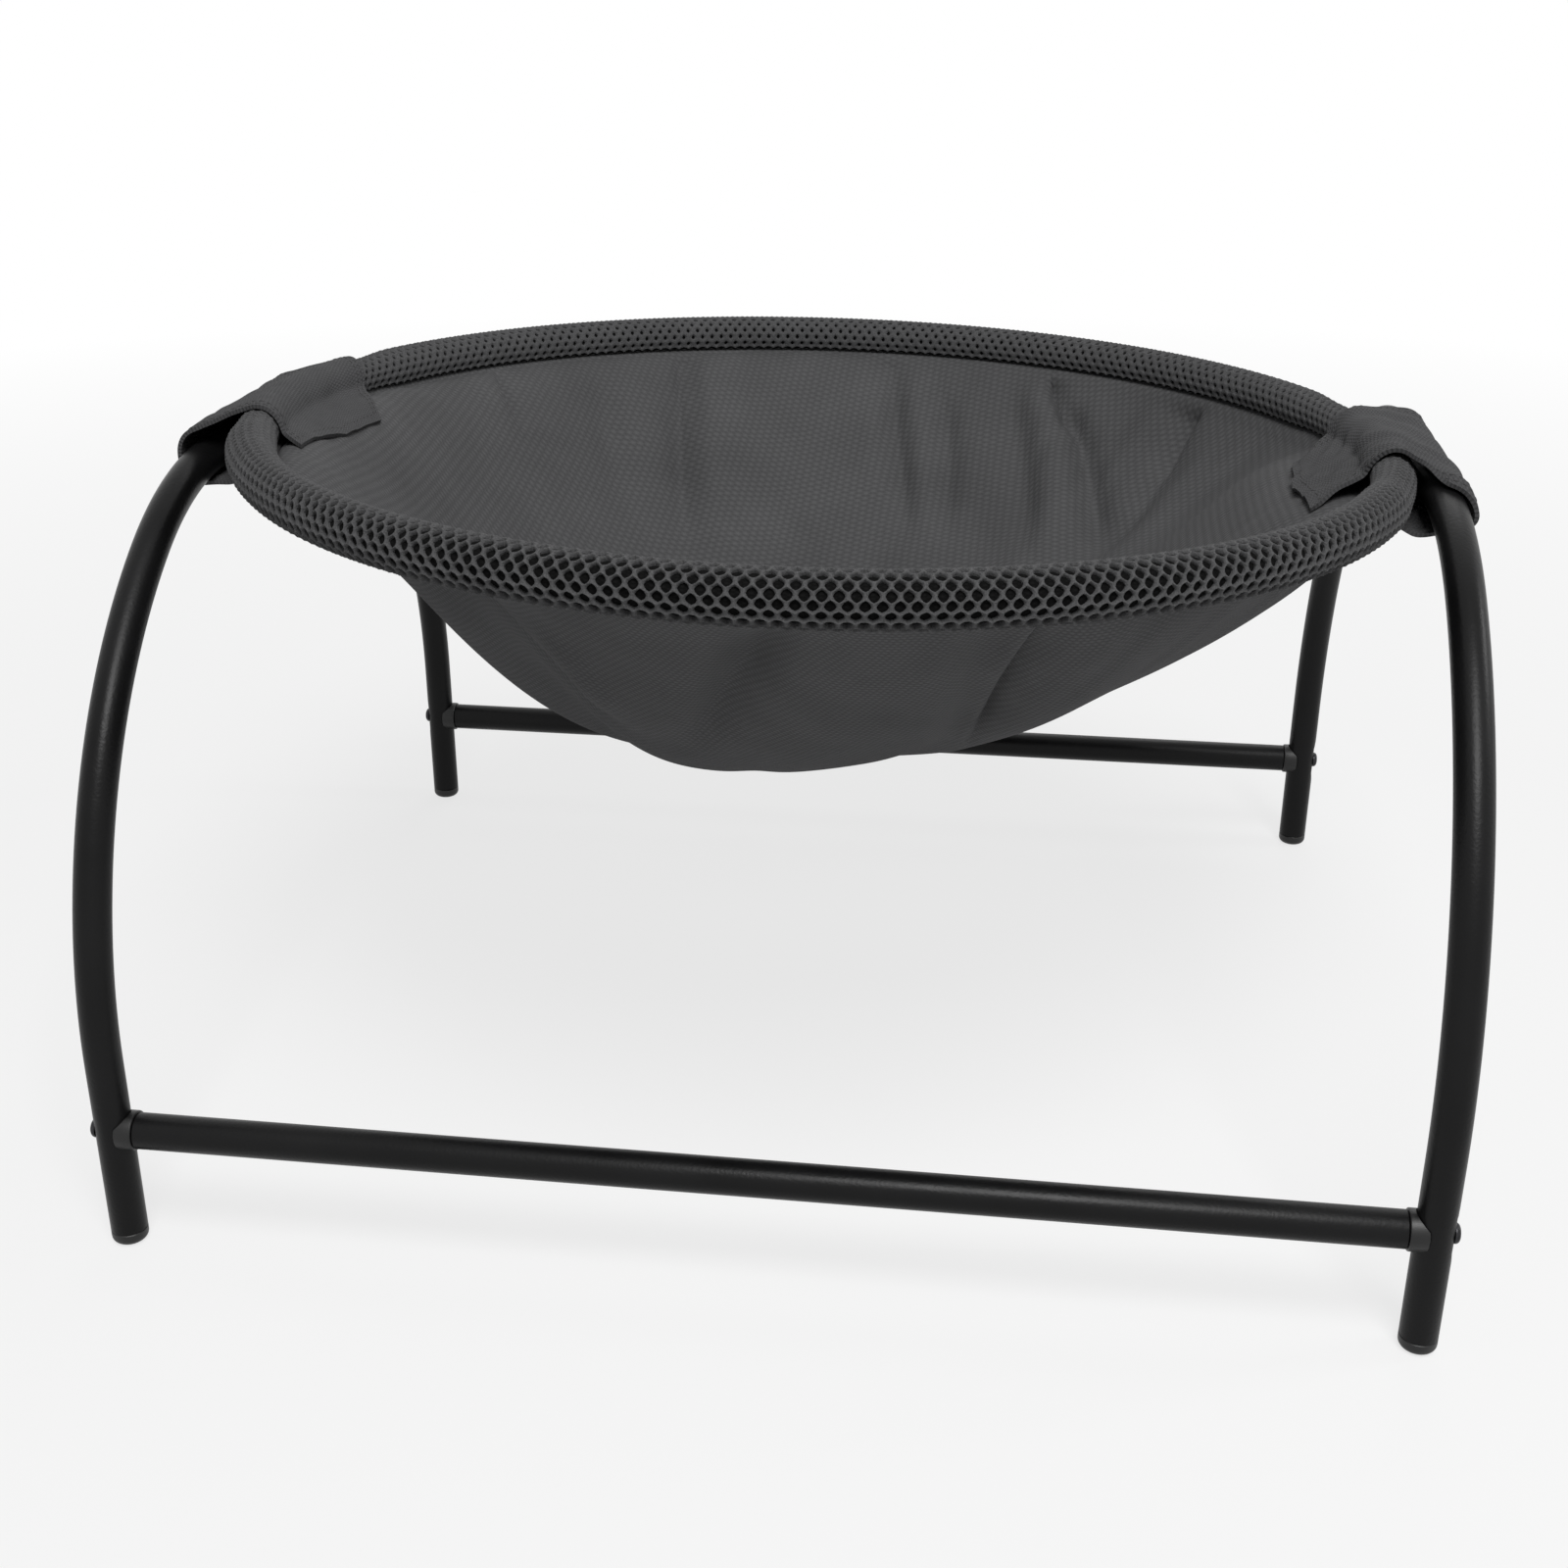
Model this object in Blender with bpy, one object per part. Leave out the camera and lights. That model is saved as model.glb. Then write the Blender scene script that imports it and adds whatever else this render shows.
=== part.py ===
"""Cat sling bed: a round mesh sling hung between two bent tube arches that two crossbars hold apart.

Units are metres. X runs across, from the left side frame to the right one, Y from front to back, Z up.
The origin is on the floor under the middle of the bed's outline. The pieces are placed from a point on the
floor midway between the four feet, which lies behind it because the rim reaches out further at the front.
"""
import math
from collections import namedtuple

import bmesh
import bpy
from mathutils import Matrix, Vector

# Gap between pieces that touch, and how finely meshes are merged and shaded
SEAT_GAP = 0.0003
MERGE_DISTANCE = 0.00003
SHARP_ANGLE = math.radians(35.0)

# Side frames and crossbars
FRAME_SPACING = 0.420
TUBE_DIAMETER = 0.012
TUBE_WALL = 0.001
TUBE_SIDES = 14
FOOT_HALF_DEPTH = 0.186
LEG_STRAIGHT = 0.068
BOW_ANGLE = math.radians(57.0)
BOW_STEPS = 8
SHOULDER_RADIUS = 0.108
SHOULDER_STEPS = 4
TOP_HEIGHT = 0.2342
CROSSBAR_HEIGHT = 0.043
LAND_DEPTH = 0.0008
LAND_HALF_LENGTH = 0.005
LAND_FADE = 0.006

# Foot caps
FOOT_CAP_HEIGHT = 0.0045
FOOT_CAP_ROUND = 0.0022
FOOT_CAP_ROUND_STEPS = 3
FOOT_CAP_STEM = 0.011
STEM_RIB_COUNT = 3
STEM_RIB_DEPTH = 0.0006
CAP_STEPS = 14

# Crossbar end plugs, threaded inserts and screws
COLLAR_PROUD = 0.0006
COLLAR_LENGTH = 0.0023
SADDLE_REACH = 0.0036
PLUG_STEM = 0.016
INSERT_LENGTH = 0.007
INSERT_WALL = 0.0011
INSERT_GROOVE = 0.0004
SCREW_DIAMETER = 0.004
SCREW_HEAD_DIAMETER = 0.0066
SCREW_HEAD_HEIGHT = 0.0018
SCREW_HEAD_EDGE = 0.0004
SCREW_SOCKET = 0.0025
SCREW_SOCKET_DEPTH = 0.0011
SCREW_PAST_INSERT = 0.001
SCREW_CROWN_STEPS = 3
SCREW_STEPS = 12

# Rim: a stiff hoop in a casing of thick spacer mesh
RIM_COVER_DIAMETER = 0.0164
HOOP_DIAMETER = 0.010
HOOP_WALL = 0.0012
HOOP_JOINT = 0.002
HOOP_SIDES = 8
JOINER_LENGTH = 0.040
JOINER_STEPS = 4
RIM_SEGMENTS = 56
RIM_SEAM_ANGLE = math.radians(225.0)
COVER_OUTER_STEPS = 12
COVER_INNER_STEPS = 9

# How the sling hangs: its shift towards the right and the front, its height and its slight tilt
SLING_SHIFT_RIGHT = 0.0025
SLING_SHIFT_FRONT = 0.0201
RIM_OVER_TOP_BAR = 0.0069
SLING_DIP_RIGHT = math.radians(1.15)
SLING_DIP_BACK = math.radians(0.97)

# Bowl of the sling
BOWL_DEPTH = 0.110
BOWL_THICKNESS = 0.0016
BOWL_LOW_POINT_LEFT = 0.0138
BOWL_LOW_POINT_BACK = 0.0052
BOWL_RINGS = 11
BOWL_SEGMENTS = 48
BOWL_SEARCH_STEPS = 12
# Shape of the hanging profile: how full it is and how gently it leaves the rim, all round, then what the
# right and the front add
BOWL_FULLNESS = 2.13
BOWL_FULLNESS_RIGHT = -0.75
BOWL_FULLNESS_FRONT = 0.18
BOWL_EASE = 1.25
BOWL_EASE_RIGHT = -0.59
BOWL_EASE_FRONT = 0.04
# How far the sleeves lift the cloth beside the rim, direction of each pull and its width in degrees
BOWL_PULLS = (
    (2.0, 20.0, 0.026),
    (180.0, 25.0, 0.010),
)
# Main folds: direction at the rim in degrees, from the right towards the back, how far it turns on the way to
# the middle, width in degrees, depth; a fold of negative depth hangs lower
BOWL_FOLDS = (
    (41.0, -40.0, 6.0, 0.005),
    (64.0, -50.0, 6.5, 0.006),
    (78.0, -20.0, 8.0, 0.003),
    (112.0, 0.0, 8.0, 0.003),
    (143.0, 10.0, 6.0, 0.003),
    (230.0, 0.0, 10.0, 0.016),
    (269.0, 0.0, 7.0, 0.004),
    (295.0, 25.0, 6.0, 0.005),
    (306.0, 15.0, 9.0, -0.006),
)
# Where a fold and a pull are highest between the bowl's middle and the rim: the larger, the nearer the rim
FOLD_PEAK = 3
PULL_PEAK = 6

# Sleeves that carry the rim on the top bars, and how far they squeeze the soft rim under them
SLEEVE_THICKNESS = 0.001
SLEEVE_STATIONS = 8
SLEEVE_FLAP_CLEARANCE = 0.0012
SLEEVE_SEWN_ANGLE = math.radians(262.0)
SLEEVE_UNDER_ANGLE = math.radians(-80.0)
SLEEVE_EASE = 0.0003
SLEEVE_RIM_STEPS = 6
SLEEVE_BAR_STEPS = 9
RIM_SQUEEZE = 0.001
# How far each sleeve reaches to the front and back along the bar, how far its flap reaches into the bowl from
# the rim's centre, how far the front and back corners of the flap draw in, how loosely the sleeve lies over the
# bar and how far its lower ply sags
LEFT_SLEEVE_FRONT = 0.063
LEFT_SLEEVE_BACK = 0.032
LEFT_FLAP_REACH = 0.019
LEFT_FLAP_FRONT_IN = 0.011
LEFT_FLAP_BACK_IN = 0.017
LEFT_SLEEVE_SLACK = 0.0045
LEFT_SLEEVE_SAG = 0.005
RIGHT_SLEEVE_FRONT = 0.064
RIGHT_SLEEVE_BACK = 0.040
RIGHT_FLAP_REACH = 0.024
RIGHT_FLAP_FRONT_IN = 0.014
RIGHT_FLAP_BACK_IN = 0.012
RIGHT_SLEEVE_SLACK = 0.0008
RIGHT_SLEEVE_SAG = 0.0045

# Values that follow from the sizes above
TUBE_RADIUS = TUBE_DIAMETER / 2
BORE_RADIUS = TUBE_RADIUS - TUBE_WALL
LEG_X = FRAME_SPACING / 2
STEM_RADIUS = BORE_RADIUS - SEAT_GAP
BOW_RADIUS = (TOP_HEIGHT - LEG_STRAIGHT - SHOULDER_RADIUS * (1 - math.sin(BOW_ANGLE))) / math.sin(BOW_ANGLE)
COLLAR_END = TUBE_RADIUS + COLLAR_LENGTH
PLUG_END = COLLAR_END + PLUG_STEM
SCREW_RADIUS = SCREW_DIAMETER / 2
SCREW_HOLE_RADIUS = SCREW_RADIUS + SEAT_GAP
INSERT_RADIUS = SCREW_HOLE_RADIUS + INSERT_WALL
LAND_X = TUBE_RADIUS - LAND_DEPTH
RIM_COVER_RADIUS = RIM_COVER_DIAMETER / 2
HOOP_RADIUS = HOOP_DIAMETER / 2
RIM_SQUEEZED_RADIUS = RIM_COVER_RADIUS - RIM_SQUEEZE
RIM_RADIUS = LEG_X - TUBE_RADIUS - RIM_SQUEEZED_RADIUS - SEAT_GAP - SLING_SHIFT_RIGHT
RIM_HEIGHT = TOP_HEIGHT + RIM_OVER_TOP_BAR
BOWL_MOUTH = RIM_COVER_RADIUS + BOWL_THICKNESS
LOW_POINT_SHIFT = Vector((-BOWL_LOW_POINT_LEFT, BOWL_LOW_POINT_BACK, 0.0))
SLING_PLACE = (
    Matrix.Translation((SLING_SHIFT_RIGHT, -SLING_SHIFT_FRONT, RIM_HEIGHT))
    @ Matrix.Rotation(SLING_DIP_RIGHT, 4, "Y")
    @ Matrix.Rotation(-SLING_DIP_BACK, 4, "X")
)
Sleeve = namedtuple("Sleeve", "name outward front back reach front_in back_in slack sag")
LEFT_SLEEVE = Sleeve(
    "left_sleeve", -1, LEFT_SLEEVE_FRONT, LEFT_SLEEVE_BACK, LEFT_FLAP_REACH,
    LEFT_FLAP_FRONT_IN, LEFT_FLAP_BACK_IN, LEFT_SLEEVE_SLACK, LEFT_SLEEVE_SAG,
)
RIGHT_SLEEVE = Sleeve(
    "right_sleeve", 1, RIGHT_SLEEVE_FRONT, RIGHT_SLEEVE_BACK, RIGHT_FLAP_REACH,
    RIGHT_FLAP_FRONT_IN, RIGHT_FLAP_BACK_IN, RIGHT_SLEEVE_SLACK, RIGHT_SLEEVE_SAG,
)
FRONT_REACH = SLING_SHIFT_FRONT + RIM_RADIUS + RIM_COVER_RADIUS
BACK_REACH = FOOT_HALF_DEPTH + TUBE_RADIUS + COLLAR_PROUD
FEET_BEHIND_ORIGIN = (FRONT_REACH - BACK_REACH) / 2


def clear_scene():
    """Remove every object that the file starts with."""
    for thing in list(bpy.data.objects):
        bpy.data.objects.remove(thing, do_unlink=True)


def place_between_feet(thing, place=None):
    """Add an object to the scene, placed from the point midway between the feet."""
    name = "between_feet"
    if name not in bpy.data.objects:
        middle = bpy.data.objects.new(name, None)
        middle.location.y = FEET_BEHIND_ORIGIN
        bpy.context.collection.objects.link(middle)
    thing.parent = bpy.data.objects[name]
    if place is not None:
        thing.matrix_basis = place
    bpy.context.collection.objects.link(thing)


def material(name, colour, roughness, metallic=0.0):
    """A Principled BSDF material of one colour."""
    made = bpy.data.materials.new(name)
    made.use_nodes = True
    shader = made.node_tree.nodes["Principled BSDF"]
    shader.inputs["Base Color"].default_value = (*colour, 1.0)
    shader.inputs["Roughness"].default_value = roughness
    shader.inputs["Metallic"].default_value = metallic
    return made


def add_object(name, bm, surface, place=None):
    """Turn a bmesh into a named object whose faces point out."""
    bmesh.ops.recalc_face_normals(bm, faces=bm.faces)
    mesh = bpy.data.meshes.new(name)
    bm.to_mesh(mesh)
    bm.free()
    mesh.materials.append(surface)
    mesh.shade_smooth()
    mesh.set_sharp_from_angle(angle=SHARP_ANGLE)
    made = bpy.data.objects.new(name, mesh)
    place_between_feet(made, place)
    return made


def loft(rings, closed):
    """Skin rings of equal length with faces; a closed loft also joins the last ring to the first."""
    bm = bmesh.new()
    rows = [[bm.verts.new(point) for point in ring] for ring in rings]
    pairs = list(zip(rows, rows[1:]))
    if closed:
        pairs.append((rows[-1], rows[0]))
    for low, high in pairs:
        for i in range(len(low)):
            j = (i + 1) % len(low)
            bm.faces.new((low[i], low[j], high[j], high[i]))
    return bm


def turned(profile, steps, closed):
    """Spin a profile of (radius, height) points about Z; a closed profile is a ring's section."""
    bm = bmesh.new()
    points = [bm.verts.new((radius, 0.0, height)) for radius, height in profile]
    edges = [bm.edges.new(pair) for pair in zip(points, points[1:])]
    if closed:
        edges.append(bm.edges.new((points[-1], points[0])))
    bmesh.ops.spin(
        bm, geom=points + edges, cent=(0, 0, 0), axis=(0, 0, 1), angle=math.tau, steps=steps, use_merge=True
    )
    bmesh.ops.remove_doubles(bm, verts=bm.verts, dist=MERGE_DISTANCE)
    return bm


def cut(target, bm, place):
    """Cut a closed shape out of an object with an exact Boolean."""
    bmesh.ops.recalc_face_normals(bm, faces=bm.faces)
    mesh = bpy.data.meshes.new(target.name + "_cutter")
    bm.to_mesh(mesh)
    bm.free()
    cutter = bpy.data.objects.new(mesh.name, mesh)
    cutter.hide_render = True
    cutter.display_type = "WIRE"
    place_between_feet(cutter, place)
    boolean = target.modifiers.new("cut", "BOOLEAN")
    boolean.operation = "DIFFERENCE"
    boolean.solver = "EXACT"
    boolean.object = cutter


def rod(radius, length, sides):
    """A straight round cutter along Z, centred on the origin."""
    bm = bmesh.new()
    bmesh.ops.create_cone(
        bm, cap_ends=True, segments=sides, radius1=radius, radius2=radius, depth=length
    )
    return bm


def leg_half_path():
    """Centre line (distance from the middle, height) of one half arch, from the tube's end to the top bar."""
    heights = [FOOT_CAP_HEIGHT + SEAT_GAP]
    for side in (-1, 1):
        near = CROSSBAR_HEIGHT + side * LAND_HALF_LENGTH
        far = near + side * LAND_FADE
        heights += sorted((near, far))
    heights.append(LEG_STRAIGHT)
    points = [(FOOT_HALF_DEPTH, height) for height in heights]
    bow_y = FOOT_HALF_DEPTH - BOW_RADIUS
    for step in range(1, BOW_STEPS + 1):
        angle = BOW_ANGLE * step / BOW_STEPS
        points.append((bow_y + BOW_RADIUS * math.cos(angle), LEG_STRAIGHT + BOW_RADIUS * math.sin(angle)))
    reach = BOW_RADIUS - SHOULDER_RADIUS
    shoulder_y = bow_y + reach * math.cos(BOW_ANGLE)
    shoulder_z = LEG_STRAIGHT + reach * math.sin(BOW_ANGLE)
    for step in range(1, SHOULDER_STEPS + 1):
        angle = BOW_ANGLE + (math.pi / 2 - BOW_ANGLE) * step / SHOULDER_STEPS
        points.append(
            (shoulder_y + SHOULDER_RADIUS * math.cos(angle), shoulder_z + SHOULDER_RADIUS * math.sin(angle))
        )
    return points


def top_bar_drop(y):
    """How far the top bar's centre line lies under its highest stretch at a distance from the middle."""
    shoulder_start = leg_half_path()[-1][0]
    past = max(0.0, abs(y) - shoulder_start)
    return SHOULDER_RADIUS - math.sqrt(SHOULDER_RADIUS ** 2 - min(past, SHOULDER_RADIUS) ** 2)


def land_depth_at(height):
    """Depth of the flat land that is pressed into the leg for the screw's head."""
    off = abs(height - CROSSBAR_HEIGHT)
    if off <= LAND_HALF_LENGTH + MERGE_DISTANCE:
        return LAND_DEPTH
    return 0.0


def arch_rings(radius, outward):
    """Rings of a tube along the arch, flattened on the outward side where the screw's head seats."""
    half = leg_half_path()
    path = [(-y, z) for y, z in half] + [(y, z) for y, z in reversed(half)]
    rings = []
    for i, (y, z) in enumerate(path):
        before = Vector(path[max(i - 1, 0)])
        after = Vector(path[min(i + 1, len(path) - 1)])
        along = (after - before).normalized()
        normal = Vector((-along.y, along.x))
        limit = radius - land_depth_at(z)
        ring = []
        for step in range(TUBE_SIDES):
            turn = math.tau * step / TUBE_SIDES
            across = radius * math.cos(turn)
            rise = radius * math.sin(turn)
            out = min(across, limit)
            ring.append(Vector((outward * out, y + normal.x * rise, z + normal.y * rise)))
        rings.append(ring)
    return rings


def side_frame(name, outward, surface):
    """One bent tube: an arch from the front foot over the top to the back foot, open at both ends."""
    outer = arch_rings(TUBE_RADIUS, outward)
    inner = arch_rings(BORE_RADIUS, outward)
    bm = loft(outer + inner[::-1], closed=True)
    frame = add_object(name, bm, surface, Matrix.Translation((outward * LEG_X, 0, 0)))
    for depth in (-FOOT_HALF_DEPTH, FOOT_HALF_DEPTH):
        cut(frame, rod(SCREW_HOLE_RADIUS, 2 * TUBE_DIAMETER, SCREW_STEPS), joint_place(outward, depth))
    return frame


def crossbar(name, depth, surface):
    """A straight tube that fills the space between the collars of its two end plugs."""
    half = LEG_X - COLLAR_END - SEAT_GAP
    profile = [(TUBE_RADIUS, -half), (TUBE_RADIUS, half), (BORE_RADIUS, half), (BORE_RADIUS, -half)]
    place = Matrix.Translation((0, depth, CROSSBAR_HEIGHT)) @ Matrix.Rotation(math.pi / 2, 4, "Y")
    return add_object(name, turned(profile, TUBE_SIDES, closed=True), surface, place)


def ribbed_stem(start, length):
    """Profile points (radius, height) of a stem whose ribs grip the bore, from its root to its tip."""
    pitch = length / (STEM_RIB_COUNT + 1)
    core = STEM_RADIUS - STEM_RIB_DEPTH
    points = [(core, start)]
    for rib in range(1, STEM_RIB_COUNT + 1):
        height = start + rib * pitch
        points += [(core, height - pitch / 3), (STEM_RADIUS, height), (core, height + pitch / 6)]
    points.append((core, start + length))
    return points


def foot_cap_mesh():
    """A rounded cap as wide as the tube, flat underneath, with a ribbed stem for the bore."""
    profile = [(0.0, 0.0), (TUBE_RADIUS - FOOT_CAP_ROUND, 0.0)]
    for step in range(1, FOOT_CAP_ROUND_STEPS + 1):
        angle = math.pi / 2 * step / FOOT_CAP_ROUND_STEPS
        radius = TUBE_RADIUS - FOOT_CAP_ROUND * (1 - math.sin(angle))
        profile.append((radius, FOOT_CAP_ROUND * (1 - math.cos(angle))))
    profile.append((TUBE_RADIUS, FOOT_CAP_HEIGHT))
    profile += ribbed_stem(FOOT_CAP_HEIGHT, FOOT_CAP_STEM)
    profile.append((0.0, FOOT_CAP_HEIGHT + FOOT_CAP_STEM))
    return turned(profile, CAP_STEPS, closed=False)


def end_plug_mesh():
    """A plug about Z, from the leg's centre plane: saddle collar, ribbed stem and pocket for the insert."""
    collar = TUBE_RADIUS + COLLAR_PROUD
    edge = COLLAR_PROUD
    pocket = INSERT_RADIUS + SEAT_GAP
    pocket_floor = PLUG_END - INSERT_LENGTH - SEAT_GAP
    lip = TUBE_RADIUS - SADDLE_REACH
    profile = [(SCREW_HOLE_RADIUS, lip), (collar - edge, lip), (collar, lip + edge)]
    profile += [(collar, COLLAR_END - edge), (collar - edge, COLLAR_END)]
    profile += ribbed_stem(COLLAR_END, PLUG_STEM)
    profile += [(pocket, PLUG_END), (pocket, pocket_floor), (SCREW_HOLE_RADIUS, pocket_floor)]
    return turned(profile, CAP_STEPS, closed=True)


def insert_mesh():
    """A threaded metal insert as a ring with a groove round its middle."""
    start = PLUG_END - INSERT_LENGTH
    third = INSERT_LENGTH / 3
    groove = INSERT_RADIUS - INSERT_GROOVE
    profile = [
        (SCREW_HOLE_RADIUS, start),
        (INSERT_RADIUS, start),
        (INSERT_RADIUS, start + third),
        (groove, start + third),
        (groove, start + 2 * third),
        (INSERT_RADIUS, start + 2 * third),
        (INSERT_RADIUS, PLUG_END),
        (SCREW_HOLE_RADIUS, PLUG_END),
    ]
    return turned(profile, SCREW_STEPS, closed=True)


def screw_mesh():
    """A button head screw along Z; its head seats on the leg's flat land, left of the centre plane."""
    seat = -LAND_X - SEAT_GAP
    tip = PLUG_END + SCREW_PAST_INSERT
    head = SCREW_HEAD_DIAMETER / 2
    crown = SCREW_SOCKET / 2 + SCREW_HEAD_EDGE
    top = seat - SCREW_HEAD_HEIGHT
    edge = seat - SCREW_HEAD_EDGE
    profile = [(0.0, top), (crown, top)]
    for step in range(1, SCREW_CROWN_STEPS):
        angle = math.pi / 2 * step / SCREW_CROWN_STEPS
        profile.append((crown + (head - crown) * math.sin(angle), edge - (edge - top) * math.cos(angle)))
    profile += [(head, edge), (head, seat), (SCREW_RADIUS, seat)]
    profile += [(SCREW_RADIUS, tip - SCREW_HEAD_EDGE), (SCREW_RADIUS - SCREW_HEAD_EDGE, tip), (0.0, tip)]
    return turned(profile, SCREW_STEPS, closed=False)


def joint_place(outward, depth):
    """Matrix that lays Z along the crossbar, from a leg's centre plane towards the middle."""
    turn = Matrix.Rotation(-outward * math.pi / 2, 4, "Y")
    return Matrix.Translation((outward * LEG_X, depth, CROSSBAR_HEIGHT)) @ turn


def crossbar_joints(corners, plastic, brass, steel):
    """End plug, threaded insert and screw at each of the four corners."""
    for corner, outward, depth in corners:
        place = joint_place(outward, depth)
        plug = add_object(corner + "_end_plug", end_plug_mesh(), plastic, place)
        leg = Matrix.Translation((outward * LEG_X, depth, CROSSBAR_HEIGHT))
        cut(plug, rod(TUBE_RADIUS + SEAT_GAP, 4 * TUBE_DIAMETER, 2 * CAP_STEPS), leg)
        add_object(corner + "_threaded_insert", insert_mesh(), brass, place)
        screw = add_object(corner + "_screw", screw_mesh(), steel, place)
        top = LAND_X + SEAT_GAP + SCREW_HEAD_HEIGHT
        socket = place @ Matrix.Translation((0, 0, -top))
        cut(screw, rod(SCREW_SOCKET / math.sqrt(3), 2 * SCREW_SOCKET_DEPTH, 6), socket)


def rim_point(turn, out, rise):
    """A point in the sling's own frame, from the hoop's centre line: out from the middle, and up."""
    reach = RIM_RADIUS + out
    return Vector((reach * math.cos(turn), reach * math.sin(turn), rise))


def rim_rings(section, start, end, segments):
    """Rings of one section round the rim, between two directions."""
    rings = []
    for step in range(segments + 1):
        turn = start + (end - start) * step / segments
        rings.append([rim_point(turn, out, rise) for out, rise in section])
    return rings


def circle_section(radius, sides):
    """Points (out, rise) of a round section."""
    turns = [math.tau * side / sides for side in range(sides)]
    return [(radius * math.cos(turn), radius * math.sin(turn)) for turn in turns]


def rim_hoop(surface):
    """The stiff hoop: a tube bent round until its ends nearly meet at the back."""
    half_joint = HOOP_JOINT / 2 / RIM_RADIUS
    start = math.pi / 2 + half_joint
    end = math.pi / 2 + math.tau - half_joint
    outer = rim_rings(circle_section(HOOP_RADIUS, HOOP_SIDES), start, end, RIM_SEGMENTS)
    inner = rim_rings(circle_section(HOOP_RADIUS - HOOP_WALL, HOOP_SIDES), start, end, RIM_SEGMENTS)
    return add_object("rim_hoop", loft(outer + inner[::-1], closed=True), surface, SLING_PLACE)


def hoop_joiner(surface):
    """The pin inside the hoop's two ends, bent to the hoop's own radius."""
    half = JOINER_LENGTH / 2 / RIM_RADIUS
    section = circle_section(HOOP_RADIUS - HOOP_WALL - SEAT_GAP, HOOP_SIDES)
    rings = rim_rings(section, math.pi / 2 - half, math.pi / 2 + half, JOINER_STEPS)
    bm = loft(rings, closed=False)
    bmesh.ops.holes_fill(bm, edges=[edge for edge in bm.edges if edge.is_boundary])
    return add_object("hoop_joiner", bm, surface, SLING_PLACE)


def cover_section(radius):
    """Points (out, rise) of the casing's C section, with a slit at the seam that takes the bowl's hem."""
    inner_radius = (HOOP_RADIUS + SEAT_GAP) / math.cos(math.pi / COVER_INNER_STEPS)
    slit = BOWL_THICKNESS / 2 + SEAT_GAP
    arcs = []
    for reach, steps in ((radius, COVER_OUTER_STEPS), (inner_radius, COVER_INNER_STEPS)):
        start = RIM_SEAM_ANGLE + math.asin(slit / reach)
        sweep = math.tau - 2 * math.asin(slit / reach)
        turns = [start + sweep * step / steps for step in range(steps + 1)]
        arcs.append([(reach * math.cos(turn), reach * math.sin(turn)) for turn in turns])
    return arcs[0] + arcs[1][::-1]


def under_sleeve(turn):
    """Whether a sleeve, or the stretch of rim beside it, lies at a direction round the rim."""
    y = RIM_RADIUS * math.sin(turn) - SLING_SHIFT_FRONT
    beside = RIM_RADIUS * math.tau / RIM_SEGMENTS
    return any(
        shape.outward * math.cos(turn) > 0 and -shape.front - beside <= y <= shape.back + beside
        for shape in (LEFT_SLEEVE, RIGHT_SLEEVE)
    )


def rim_cover(surface):
    """The spacer mesh casing, carried all the way round and squeezed where the sleeves pull on it."""
    rings = []
    for step in range(RIM_SEGMENTS):
        turn = math.tau * step / RIM_SEGMENTS
        section = cover_section(RIM_SQUEEZED_RADIUS if under_sleeve(turn) else RIM_COVER_RADIUS)
        rings.append([rim_point(turn, out, rise) for out, rise in section])
    return add_object("rim_cover", loft(rings, closed=True), surface, SLING_PLACE)


def bowl_drop(share, turn):
    """Share of the full depth at a share of the way from the middle to the rim."""
    fullness = BOWL_FULLNESS + BOWL_FULLNESS_RIGHT * math.cos(turn) - BOWL_FULLNESS_FRONT * math.sin(turn)
    ease = BOWL_EASE + BOWL_EASE_RIGHT * math.cos(turn) - BOWL_EASE_FRONT * math.sin(turn)
    return (1 - share ** fullness) ** ease


def hump(share, power):
    """A smooth rise from 0 at the middle to 1, and back to 0 at the rim."""
    peak = power / (power + 1)
    return share ** power * (1 - share) / (peak ** power * (1 - peak))


def degrees_off(turn, direction):
    """Angle in degrees between a direction round the rim and another one, from -180 to 180."""
    return (math.degrees(turn) - direction + 180.0) % 360.0 - 180.0


def cloth_lift(share, turn):
    """How far the folds, and the sleeves that pull on the rim, lift the bowl's cloth."""
    folds = sum(
        depth * math.exp(-((degrees_off(turn, at + swing * (1 - share)) / width) ** 2))
        for at, swing, width, depth in BOWL_FOLDS
    )
    pulls = sum(lift * math.exp(-((degrees_off(turn, at) / width) ** 4)) for at, width, lift in BOWL_PULLS)
    return folds * hump(share, FOLD_PEAK) + pulls * hump(share, PULL_PEAK)


def seam_offset(reach):
    """Offset (out, rise) from the hoop's centre line along the rim's seam."""
    return Vector((reach * math.cos(RIM_SEAM_ANGLE), reach * math.sin(RIM_SEAM_ANGLE)))


def bowl_point(share, turn):
    """A point of the bowl's middle surface, in the sling's own frame."""
    mouth = seam_offset(BOWL_MOUTH)
    drop = bowl_drop(share, turn)
    reach = (RIM_RADIUS + mouth.x) * share
    height = mouth.y - BOWL_DEPTH * drop + cloth_lift(share, turn)
    return Vector((reach * math.cos(turn), reach * math.sin(turn), height)) + drop * LOW_POINT_SHIFT


def bowl_height_over(x, y):
    """Height of the bowl's middle surface over a spot of the sling's own plane."""
    edge = RIM_RADIUS + seam_offset(BOWL_MOUTH).x
    drop = 0.0
    for _ in range(BOWL_SEARCH_STEPS):
        spot = Vector((x, y, 0.0)) - drop * LOW_POINT_SHIFT
        share = min(1.0, spot.length / edge)
        turn = math.atan2(spot.y, spot.x)
        drop = bowl_drop(share, turn)
    return bowl_point(share, turn).z


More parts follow.
